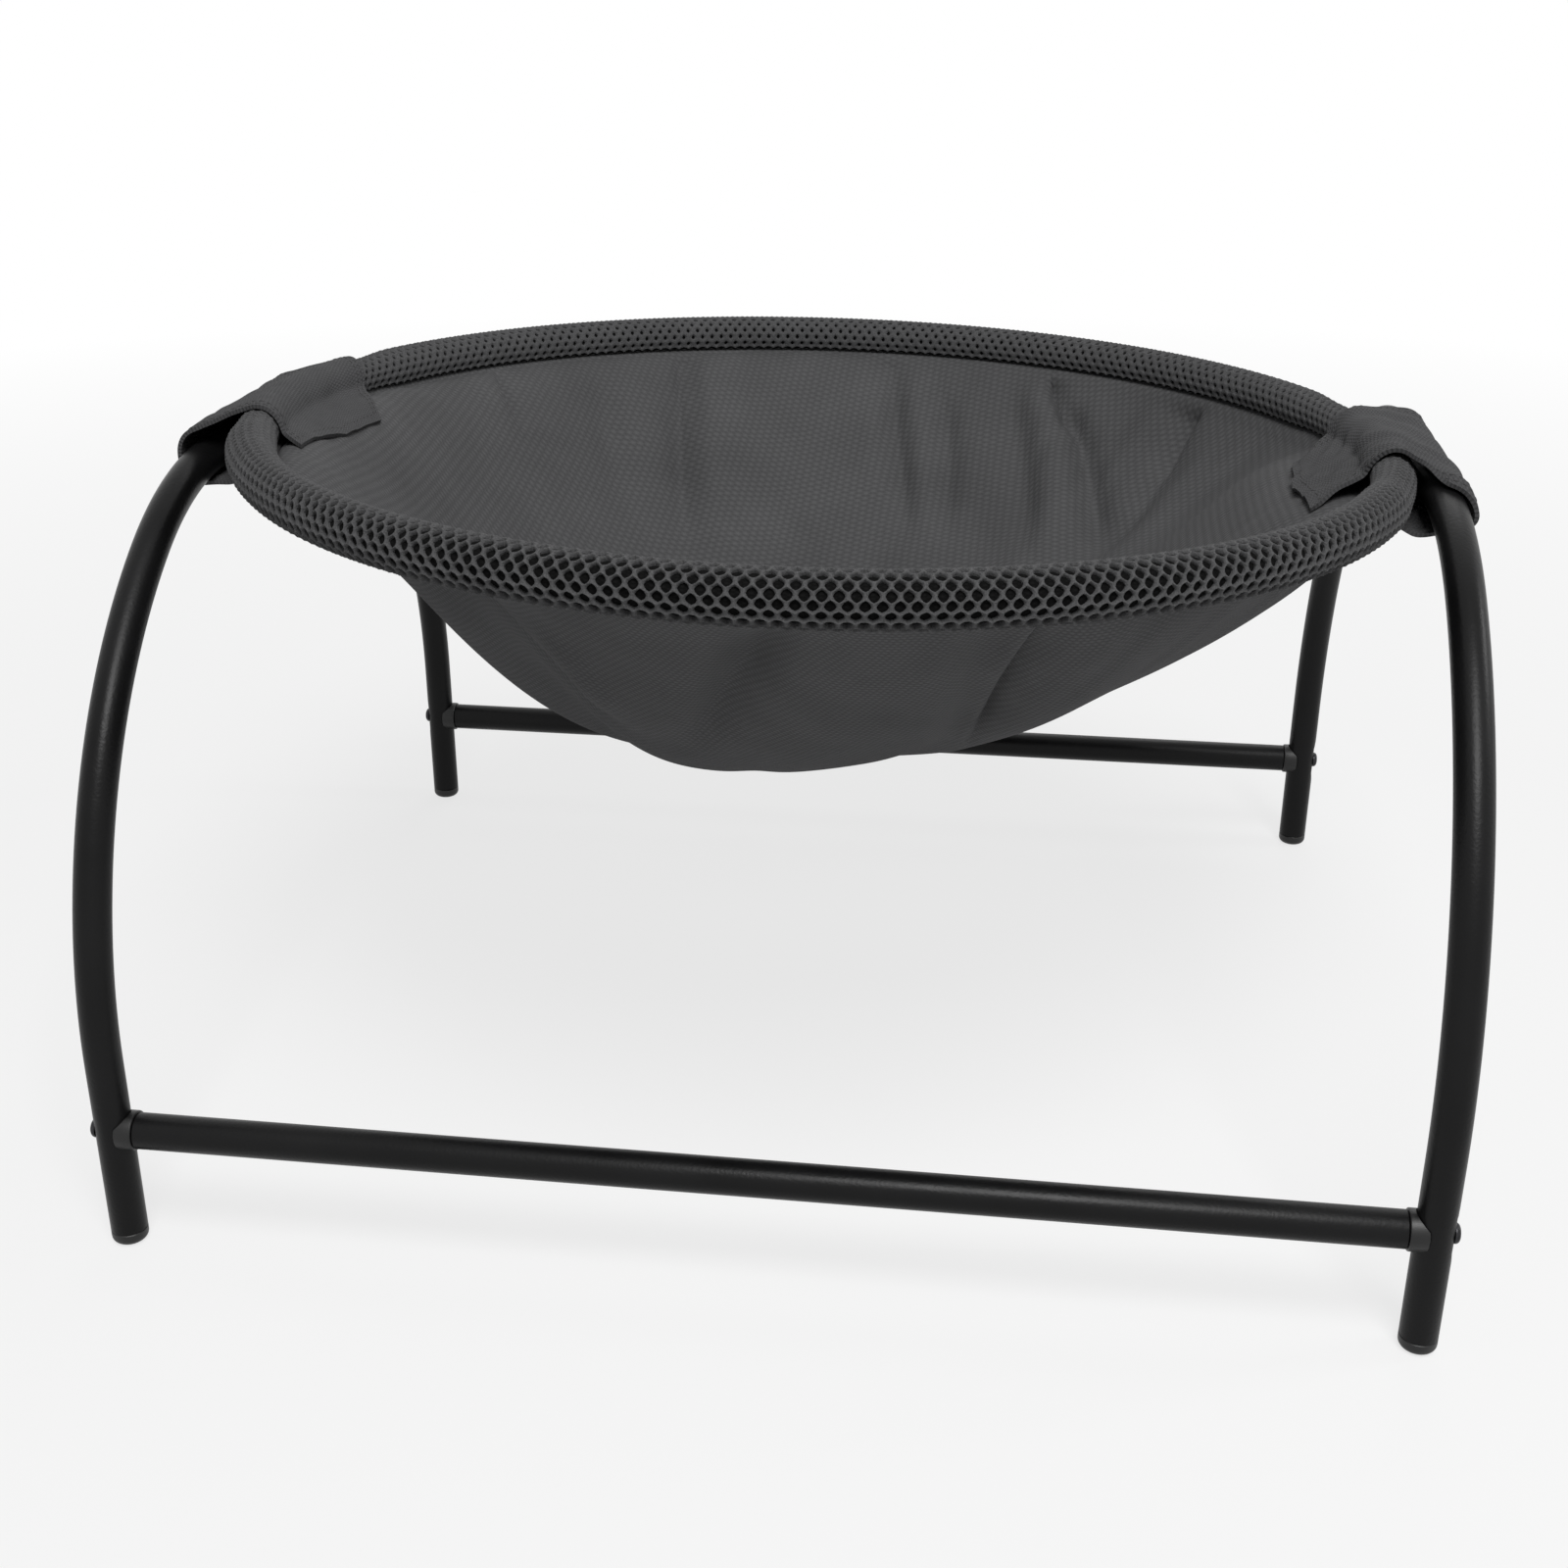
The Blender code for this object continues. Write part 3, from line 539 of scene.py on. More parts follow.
@dataclass
class Shape:
    """A mesh in the making: points, faces and, if the finish needs them, cloth coordinates."""

    points: np.ndarray
    faces: list[Sequence[int]]
    cloth: np.ndarray | None = None

    @staticmethod
    def from_grid(
        grid: np.ndarray,
        wrap_rows: bool = False,
        wrap_columns: bool = False,
        cloth: np.ndarray | None = None,
    ) -> "Shape":
        """A shape whose quads join a grid of points.

        Args:
            grid: points by row and column.
            wrap_rows: whether the last row joins the first.
            wrap_columns: whether the last column joins the first.
            cloth: cloth coordinates by row and column.

        Returns:
            The shape.
        """
        rows, columns = grid.shape[:2]
        quads = grid_quads(rows, columns, wrap_rows, wrap_columns)
        flat = None if cloth is None else cloth.reshape(-1, 2)
        return Shape(grid.reshape(-1, 3), quads.tolist(), flat)

    def moved(self, place: Matrix) -> "Shape":
        """The same shape carried by a matrix."""
        return Shape(carried(self.points, place), self.faces, self.cloth)

    def plus(self, other: "Shape") -> "Shape":
        """Join this shape and another one, neither with cloth coordinates.

        Args:
            other: the other shape.

        Returns:
            Both as a single shape.
        """
        offset = len(self.points)
        faces = list(self.faces) + [[corner + offset for corner in face] for face in other.faces]
        return Shape(np.concatenate([self.points, other.points]), faces)

    def mesh(self, name: str) -> bpy.types.Mesh:
        """The shape as Blender's mesh, smooth where its faces meet at a low angle.

        Args:
            name: the mesh's name.

        Returns:
            The mesh.
        """
        made = bpy.data.meshes.new(name)
        made.from_pydata(self.points.tolist(), [], [list(face) for face in self.faces])
        if self.cloth is not None:
            corners = np.zeros(len(made.loops), np.int32)
            made.loops.foreach_get("vertex_index", corners)
            layer = made.uv_layers.new(name="UVMap")
            layer.data.foreach_set("uv", self.cloth[corners].astype(np.float32).ravel())
        made.shade_smooth()
        made.set_sharp_from_angle(angle=SMOOTH_LIMIT)
        return made


def piece(
    name: str, shape: Shape, finish: Finish, stands_for: Iterable[str] = ()
) -> bpy.types.Object:
    """Add one piece that rides on the bed.

    Args:
        name: the piece's name.
        shape: its mesh in the model's frame.
        finish: what it is made of.
        stands_for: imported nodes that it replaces.

    Returns:
        The new object.
    """
    made = in_scene(name, shape.mesh(name))
    made.data.materials.append(finish.material())
    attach(made, BODY)
    if stands_for:
        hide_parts(*stands_for)
    LOG.info("%s: %d faces", name, len(made.data.polygons))
    return made


def spun(profile: Sequence[Pair], steps: int, closed: bool) -> Shape:
    """Spin a profile about Z.

    Args:
        profile: points (radius, height); an open profile starts and ends on the axis.
        steps: points round the axis.
        closed: whether the profile is a ring's section.

    Returns:
        The turned shape.
    """
    turns = even_turns(steps)
    inside = profile if closed else profile[1:-1]
    radii, heights = np.array(inside).T
    flat = [np.outer(radii, np.cos(turns)), np.outer(radii, np.sin(turns))]
    grid = np.stack([*flat, np.outer(heights, np.ones(steps))], -1)
    made = Shape.from_grid(grid, wrap_rows=closed, wrap_columns=True)
    if closed:
        return made
    poles = np.array([[0.0, 0.0, profile[0][1]], [0.0, 0.0, profile[-1][1]]])
    first, last = len(made.points), len(made.points) + 1
    top = (len(inside) - 1) * steps
    fans = [[first, (k + 1) % steps, k] for k in range(steps)]
    fans += [[last, top + k, top + (k + 1) % steps] for k in range(steps)]
    return Shape(np.concatenate([made.points, poles]), made.faces + fans)


def rounded(
    profile: Sequence[Pair], radius: float, closed: bool, steps: int = 3, share: float = 0.45
) -> list[Pair]:
    """Round the corners of a profile.

    Args:
        profile: points (radius, height).
        radius: the most that is taken off each side of a corner.
        closed: whether the last point joins the first.
        steps: segments round a corner.
        share: the largest part of an edge that a corner may take.

    Returns:
        The rounded profile.
    """
    points = [Vector(point) for point in profile]
    count = len(points)
    made: list[Pair] = []
    for i, corner in enumerate(points):
        if not closed and i in (0, count - 1):
            made.append(tuple(corner))
            continue
        before, after = points[i - 1] - corner, points[(i + 1) % count] - corner
        reach = min(radius, before.length * share, after.length * share)
        start, end = corner + before.normalized() * reach, corner + after.normalized() * reach
        for step in range(steps + 1):
            part = step / steps
            bend = start * (1 - part) ** 2 + corner * 2 * part * (1 - part) + end * part ** 2
            made.append(tuple(bend))
    return made


def rod(radius: float, length: float, sides: int) -> Shape:
    """A straight closed rod along Z, centred on the origin."""
    half = length / 2
    return spun([(0.0, -half), (radius, -half), (radius, half), (0.0, half)], sides, closed=False)


def carved(shape: Shape, cutters: Iterable[Shape]) -> Shape:
    """Cut closed shapes out of a shape with exact Booleans.

    Args:
        shape: the closed shape to cut.
        cutters: the closed shapes to take away.

    Returns:
        What is left.
    """
    work = in_scene("carving", shape.mesh("carving"))
    helpers = [work]
    for cutter in cutters:
        tool = in_scene("carving_tool", cutter.mesh("carving_tool"))
        helpers.append(tool)
        boolean = work.modifiers.new("cut", "BOOLEAN")
        boolean.operation = "DIFFERENCE"
        boolean.solver = "EXACT"
        boolean.object = tool
    left = work.evaluated_get(bpy.context.evaluated_depsgraph_get()).to_mesh()
    points = np.array([point.co for point in left.vertices])
    faces = [list(face.vertices) for face in left.polygons]
    for helper in helpers:
        bpy.data.objects.remove(helper, do_unlink=True)
    return Shape(points, faces)


def path_frames(path: np.ndarray, normals: np.ndarray, closed: bool) -> tuple[np.ndarray, np.ndarray]:
    """Directions along and across a path.

    Args:
        path: points along it.
        normals: which way is out at each point.
        closed: whether the path ends where it starts.

    Returns:
        Unit vectors along the path and across it.
    """
    if closed:
        along = np.roll(path, -1, 0) - np.roll(path, 1, 0)
    else:
        along = np.gradient(path, axis=0)
    along = along / np.linalg.norm(along, axis=1, keepdims=True)
    across = np.cross(normals, along)
    return along, across / np.linalg.norm(across, axis=1, keepdims=True)


def spaced(path: np.ndarray, gap: float) -> np.ndarray:
    """Fractional point numbers at an even distance along a path.

    Args:
        path: points along it.
        gap: about how far apart they are.

    Returns:
        The numbers.
    """
    reach = path_reach(path)
    count = max(2, int(round(reach[-1] / gap)))
    return np.interp((np.arange(count) + 0.5) * reach[-1] / count, reach, np.arange(len(path)))


def between(values: np.ndarray, numbers: np.ndarray) -> np.ndarray:
    """Values read between the rows of an array at fractional row numbers.

    Args:
        values: the array.
        numbers: the fractional row numbers.

    Returns:
        One row of values per number.
    """
    low = np.clip(np.floor(numbers).astype(int), 0, len(values) - 2)
    part = (numbers - low)[:, None]
    return values[low] * (1 - part) + values[low + 1] * part


@dataclass(frozen=True)
class Stitching:
    """A row of lock stitches: short twisted lengths of thread that dip into the cloth at both ends."""

    length: float = 0.0022
    gap: float = 0.0030
    thickness: float = 0.00034
    lean: float = 0.18
    rings: int = 6
    sides: int = 7
    thinnest: float = 0.25
    sunk: float = 0.9

    def along(self, path: np.ndarray, normals: np.ndarray) -> Shape:
        """Lay stitches along a path.

        Args:
            path: points on the cloth's surface.
            normals: which way is out at each point.

        Returns:
            All stitches as one shape.
        """
        spots = spaced(path, self.gap)
        tangents, across = path_frames(path, normals, closed=False)
        centre, out = between(path, spots), between(normals, spots)
        ahead, side = between(tangents, spots), between(across, spots)
        ahead = ahead + side * self.lean
        arc = np.linspace(0.0, math.pi, self.rings)
        turns = even_turns(self.sides)
        girth = self.thickness / 2 * np.maximum(self.thinnest, np.sin(arc) ** 0.5)
        run = -np.cos(arc) * self.length / 2
        rise = (np.sin(arc) - self.sunk) * self.thickness * self.sunk
        local = np.stack(
            [
                np.broadcast_to(run[:, None], (self.rings, self.sides)),
                np.outer(girth, np.cos(turns)),
                np.outer(girth, np.sin(turns)) + rise[:, None],
            ],
            -1,
        ).reshape(-1, 3)
        points = (
            centre[:, None]
            + local[None, :, 0:1] * ahead[:, None]
            + local[None, :, 1:2] * side[:, None]
            + local[None, :, 2:3] * out[:, None]
        )
        quads = grid_quads(self.rings, self.sides, wrap_columns=True).tolist()
        size = self.rings * self.sides
        ends = [list(range(self.sides))[::-1], list(range(size - self.sides, size))]
        faces = [[corner + size * k for corner in face] for k in range(len(spots)) for face in quads + ends]
        return Shape(points.reshape(-1, 3), faces)


def grid_normals(grid: np.ndarray, wrap_columns: bool = False) -> np.ndarray:
    """Unit normals of a grid of points.

    Args:
        grid: points by row and column.
        wrap_columns: whether the last column joins the first.

    Returns:
        One normal per point.
    """
    down = np.gradient(grid, axis=0)
    if wrap_columns:
        across = np.roll(grid, -1, 1) - np.roll(grid, 1, 1)
    else:
        across = np.gradient(grid, axis=1)
    normals = np.cross(across, down)
    return normals / np.maximum(np.linalg.norm(normals, axis=2, keepdims=True), 1e-12)


def shell(
    grid: np.ndarray,
    thickness: np.ndarray | float,
    cloth: np.ndarray,
    wrap_columns: bool = False,
    under: np.ndarray | None = None,
) -> Shape:
    """A closed sheet of cloth about a grid of points.

    Args:
        grid: the cloth's middle surface by row and column.
        thickness: its thickness, the same all over or by row and column.
        cloth: cloth coordinates by row and column.
        wrap_columns: whether the last column joins the first.
        under: cloth coordinates of the lower face, if they differ.

    Returns:
        The sheet with both faces and its edges.
    """
    other = cloth if under is None else under
    half = np.broadcast_to(np.asarray(thickness), grid.shape[:2])[..., None] / 2
    normals = grid_normals(grid, wrap_columns)
    upper, lower = grid + normals * half, grid - normals * half
    both, flat = np.concatenate([upper, lower[::-1]], 0), np.concatenate([cloth, other[::-1]], 0)
    made = Shape.from_grid(both, True, wrap_columns, flat)
    if wrap_columns:
        return made
    rows, columns = grid.shape[:2]
    faces = list(made.faces)
    for i in range(rows - 1):
        mirrored, mirrored_next = 2 * rows - 1 - i, 2 * rows - 2 - i
        for column, flip in ((0, False), (columns - 1, True)):
            face = [i * columns + column, (i + 1) * columns + column]
            face += [mirrored_next * columns + column, mirrored * columns + column]
            faces.append(face[::-1] if flip else face)
    return Shape(made.points, faces, made.cloth)


# The stand: tubes, joints and feet.


@dataclass(frozen=True)
class Stand:
    """Two bent tube arches, two crossbars and the small parts that join and foot them.

    Heights are over the floor. The ring in a cap's sole is a row of points (radius, height).
    """

    leg_x: float = 0.210
    foot_half_depth: float = 0.186
    tube_radius: float = 0.006
    tube_wall: float = 0.001
    tube_sides: int = 48
    leg_straight: float = 0.068
    bow_angle: float = math.radians(57.0)
    shoulder_radius: float = 0.108
    top_height: float = 0.2342
    crossbar_height: float = 0.043
    land_depth: float = 0.0008
    land_half_length: float = 0.005
    land_fade: float = 0.006
    cap_height: float = 0.0045
    cap_round: float = 0.0024
    cap_stem: float = 0.011
    collar_proud: float = 0.0006
    collar_length: float = 0.0023
    saddle_reach: float = 0.0036
    plug_stem: float = 0.016
    insert_length: float = 0.007
    insert_radius: float = 0.0034
    screw_radius: float = 0.002
    head_radius: float = 0.0033
    head_height: float = 0.0018
    socket_width: float = 0.0025
    socket_depth: float = 0.0011
    sole_ring: tuple[Pair, ...] = (
        (0.0, 0.0004), (0.0016, 0.0004), (0.0018, 0.0), (0.0026, 0.0), (0.0028, 0.0003), (0.0032, 0.0003),
        (0.0034, 0.0),
    )
    cap_edge: float = 0.0003
    rib_depth: float = 0.0006
    collar_round: float = 0.0006
    collar_shoulder: float = 0.001
    crossbar_round: float = 0.0002
    screw_past: float = 0.001
    screw_edge: float = 0.0004
    straight_points: int = 34
    bow_points: int = 41
    shoulder_points: int = 19
    arc_points: int = 9

    @property
    def bow_radius(self) -> float:
        """Radius of the long bow of a leg."""
        rise = self.top_height - self.leg_straight - self.shoulder_radius * (1 - math.sin(self.bow_angle))
        return rise / math.sin(self.bow_angle)

    @property
    def bore(self) -> float:
        """Inner radius of the tubes."""
        return self.tube_radius - self.tube_wall

    @property
    def collar_end(self) -> float:
        """Where an end plug's collar ends, from the leg's middle."""
        return self.tube_radius + self.collar_length

    @property
    def shoulder_start(self) -> float:
        """Distance from the middle at which the straight top bar ends."""
        reach = self.bow_radius - self.shoulder_radius
        return self.foot_half_depth - self.bow_radius + reach * math.cos(self.bow_angle)

    def half_path(self) -> np.ndarray:
        """Centre line of a leg, from its tube's end to the top bar.

        Returns:
            Points (distance from the middle, height).
        """
        straight = np.linspace(self.cap_height + SEAT_GAP, self.leg_straight, self.straight_points)
        points = [(self.foot_half_depth, height) for height in straight]
        bow, reach = self.bow_angle, self.bow_radius - self.shoulder_radius
        bow_y = self.foot_half_depth - self.bow_radius
        shoulder_y, shoulder_z = bow_y + reach * math.cos(bow), self.leg_straight + reach * math.sin(bow)
        bends = (
            (bow_y, self.leg_straight, self.bow_radius, 0.0, bow, self.bow_points),
            (shoulder_y, shoulder_z, self.shoulder_radius, bow, math.pi / 2, self.shoulder_points),
        )
        for y, z, radius, start, end, count in bends:
            for angle in np.linspace(start, end, count)[1:]:
                points.append((y + radius * math.cos(angle), z + radius * math.sin(angle)))
        return np.array(points)

    def arch(self, outward: int) -> Shape:
        """One bent tube with its bore, screw lands and screw holes.

        Args:
            outward: -1 for the left side, 1 for the right.

        Returns:
            The tube in the model's frame.
        """
        half = self.half_path()
        path = np.concatenate([half * [-1, 1], half[::-1]])
        along = np.gradient(path, axis=0)
        along /= np.linalg.norm(along, axis=1, keepdims=True)
        turns = even_turns(self.tube_sides)
        off = np.abs(path[:, 1] - self.crossbar_height)
        land = self.land_depth * (1 - smoothstep((off - self.land_half_length) / self.land_fade))
        walls = []
        for radius in (self.tube_radius, self.bore):
            across = np.minimum(radius * np.cos(turns)[None], (radius - land)[:, None])
            rise = np.broadcast_to(radius * np.sin(turns), across.shape)
            y = MIDDLE_Y + path[:, 0:1] - along[:, 1:2] * rise
            z = path[:, 1:2] + along[:, 0:1] * rise
            walls.append(np.stack([outward * (self.leg_x + across), y, z], -1))
        tube = Shape.from_grid(np.concatenate([walls[0], walls[1][::-1]]), True, True)
        if outward < 0:
            tube = Shape(tube.points, [face[::-1] for face in tube.faces])
        hole = rod(self.screw_radius + SEAT_GAP, 4 * self.tube_radius, self.tube_sides // 2)
        depths = (-self.foot_half_depth, self.foot_half_depth)
        return carved(tube, [hole.moved(self.joint(outward, depth)) for depth in depths])

    def crossbar(self, depth: float) -> Shape:
        """A straight tube with softened ends, between the collars of its plugs.

        Args:
            depth: how far it lies from the stand's middle, negative in front.

        Returns:
            The tube in the model's frame.
        """
        half = self.leg_x - self.collar_end - SEAT_GAP
        outer, inner = self.tube_radius, self.bore
        profile = [(outer, -half), (outer, half), (inner, half), (inner, -half)]
        tube = spun(rounded(profile, self.crossbar_round, True), self.tube_sides, closed=True)
        middle = Matrix.Translation((0, MIDDLE_Y + depth, self.crossbar_height))
        return tube.moved(middle @ Matrix.Rotation(math.pi / 2, 4, "Y"))

    def joint(self, outward: int, depth: float) -> Matrix:
        """Matrix that lays Z along a crossbar, from the leg's middle towards the bed's middle."""
        turn = Matrix.Rotation(-outward * math.pi / 2, 4, "Y")
        return Matrix.Translation((outward * self.leg_x, MIDDLE_Y + depth, self.crossbar_height)) @ turn

    def ribs(self, start: float, length: float, count: int = 3) -> list[Pair]:
        """Profile of a stem whose ribs grip the bore.

        Args:
            start: height of its root.
            length: how long it is.
            count: how many ribs it has.

        Returns:
            Points (radius, height) from its root to its tip.
        """
        radius = self.bore - SEAT_GAP
        core, pitch = radius - self.rib_depth, length / (count + 1)
        points = [(core, start)]
        for rib in range(1, count + 1):
            height = start + rib * pitch
            points += [(core, height - pitch / 3), (radius, height), (core, height + pitch / 6)]
        return points + [(core, start + length)]

    def foot_cap(self, outward: int, depth: float) -> Shape:
        """A rounded cap as wide as the tube, with a shallow ring moulded in its sole and a ribbed stem.

        Args:
            outward: -1 for the left side, 1 for the right.
            depth: how far its leg stands from the stand's middle, negative in front.

        Returns:
            The cap in the model's frame.
        """
        profile = list(self.sole_ring)
        for angle in np.linspace(0.0, math.pi / 2, self.arc_points)[1:]:
            radius = self.tube_radius - self.cap_round * (1 - math.sin(angle))
            profile.append((radius, self.cap_round * (1 - math.cos(angle))))
        profile.append((self.tube_radius, self.cap_height - self.cap_edge))
        profile.append((self.tube_radius - self.cap_edge, self.cap_height))
        profile += self.ribs(self.cap_height, self.cap_stem)
        profile.append((0.0, self.cap_height + self.cap_stem))
        place = Matrix.Translation((outward * self.leg_x, MIDDLE_Y + depth, 0))
        return spun(profile, self.tube_sides, closed=False).moved(place)

    def end_plug(self, outward: int, depth: float) -> Shape:
        """Saddle collar round the leg, ribbed stem in the crossbar and pocket for the threaded insert.

        Args:
            outward: -1 for the left side, 1 for the right.
            depth: how far its leg stands from the stand's middle, negative in front.

        Returns:
            The plug in the model's frame.
        """
        collar = self.tube_radius + self.collar_proud
        end, lip = self.collar_end + self.plug_stem, self.tube_radius - self.saddle_reach
        hole, pocket = self.screw_radius + SEAT_GAP, self.insert_radius + SEAT_GAP
        floor = end - self.insert_length - SEAT_GAP
        corners = [(hole, lip), (collar, lip), (collar, self.collar_end)]
        corners.append((self.bore - self.collar_shoulder, self.collar_end))
        body = rounded(corners, self.collar_round, False)
        profile = body[:-1] + self.ribs(self.collar_end, self.plug_stem)
        profile += [(pocket, end), (pocket, floor), (hole, floor)]
        saddle = spun(profile, self.tube_sides, closed=True).moved(self.joint(outward, depth))
        leg = Matrix.Translation((outward * self.leg_x, MIDDLE_Y + depth, self.crossbar_height))
        bite = rod(self.tube_radius + SEAT_GAP, 8 * self.tube_radius, 2 * self.tube_sides).moved(leg)
        return carved(saddle, [bite])

    def screw(self, outward: int, depth: float) -> Shape:
        """A button head screw with a hexagon socket, seated on the leg's land.

        Args:
            outward: -1 for the left side, 1 for the right.
            depth: how far its leg stands from the stand's middle, negative in front.

        Returns:
            The screw in the model's frame.
        """
        seat = -(self.tube_radius - self.land_depth) - SEAT_GAP
        tip = self.collar_end + self.plug_stem + self.screw_past
        top, edge = seat - self.head_height, seat - self.screw_edge
        crown = self.socket_width / 2 + self.screw_edge
        profile = [(0.0, top), (crown, top)]
        for angle in np.linspace(0.0, math.pi / 2, self.arc_points)[1:]:
            radius = crown + (self.head_radius - crown) * math.sin(angle)
            profile.append((radius, edge - (edge - top) * math.cos(angle)))
        shank = self.screw_radius
        profile += [(self.head_radius, seat), (shank, seat), (shank, tip - self.screw_edge)]
        profile += [(shank - self.screw_edge, tip), (0.0, tip)]
        place = self.joint(outward, depth)
        socket = place @ Matrix.Translation((0, 0, top))
        hexagon = rod(self.socket_width / math.sqrt(3), 2 * self.socket_depth, 6).moved(socket)
        return carved(spun(profile, self.tube_sides, closed=False).moved(place), [hexagon])

    def build(self) -> None:
        """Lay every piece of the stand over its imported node."""
        for side, outward in SIDES:
            piece(f"{side}_arch_tube", self.arch(outward), FRAME_COAT, [f"{side}_side_frame"])
        for end, depth in (("front", -self.foot_half_depth), ("rear", self.foot_half_depth)):
            piece(f"{end}_crossbar_tube", self.crossbar(depth), FRAME_COAT, [f"{end}_crossbar"])
            for side, outward in SIDES:
                corner = f"{end}_{side}"
                cap, plug, screw = (f"{corner}_{name}" for name in ("foot_cap", "end_plug", "screw"))
                piece(f"{cap}_moulding", self.foot_cap(outward, depth), CAP_PLASTIC, [cap])
                piece(f"{plug}_moulding", self.end_plug(outward, depth), CAP_PLASTIC, [plug])
                piece(f"{screw}_turning", self.screw(outward, depth), SCREW_METAL, [screw])


# The sling: its shape, its sleeves, its rim and its bowl.


@dataclass(frozen=True)
class Fold:
    """A soft fold of the bowl's cloth.

    It meets the rim at one direction, and has swung on by another angle at the middle. Directions and width
    are in degrees.
    """

    at: float
    swing: float
    width: float
    lift: float


@dataclass(frozen=True)
class Crease:
    """A crease of the bowl's cloth: a groove, sharp at power 1 and soft at power 2, with a lip on one side.

    The line runs through pairs of a share of the way to the rim and degrees round it. A positive depth
    presses the cloth outwards and a negative one draws it in. A negative lip rolls the other side.
    """

    line: tuple[Pair, ...]
    width: float
    depth: float
    lip: float = 0.0
    power: float = 1.0
    fade_share: float = 0.6
    lip_rise: float = 0.4
    lip_run: float = 3.0

    def height(self, share: float, turn: np.ndarray, radius: float) -> np.ndarray:
        """How far the crease moves the cloth off its soft shape.

        Args:
            share: how far from the middle to the rim.
            turn: directions round the rim.
            radius: the rim's radius.

        Returns:
            The distance at each direction, inwards when positive.
        """
        shares, degrees = np.array(sorted(self.line)).T
        centre = np.polyval(np.polyfit(shares, degrees, min(2, len(shares) - 1)), share)
        side = np.radians(degrees_off(turn, centre)) * radius * share
        fade = self.fade_share * (shares[-1] - shares[0])
        inner = smoothstep((share - shares[0] + fade / 2) / fade)
        ends = inner * smoothstep((shares[-1] + fade / 2 - share) / fade)
        groove = np.exp(-((np.abs(side) / self.width) ** self.power))
        lip = np.tanh(side / (self.lip_rise * self.width))
        lip = lip * np.exp(-np.abs(side) / (self.lip_run * self.width))
        return float(ends) * (self.lip * lip - self.depth * groove)


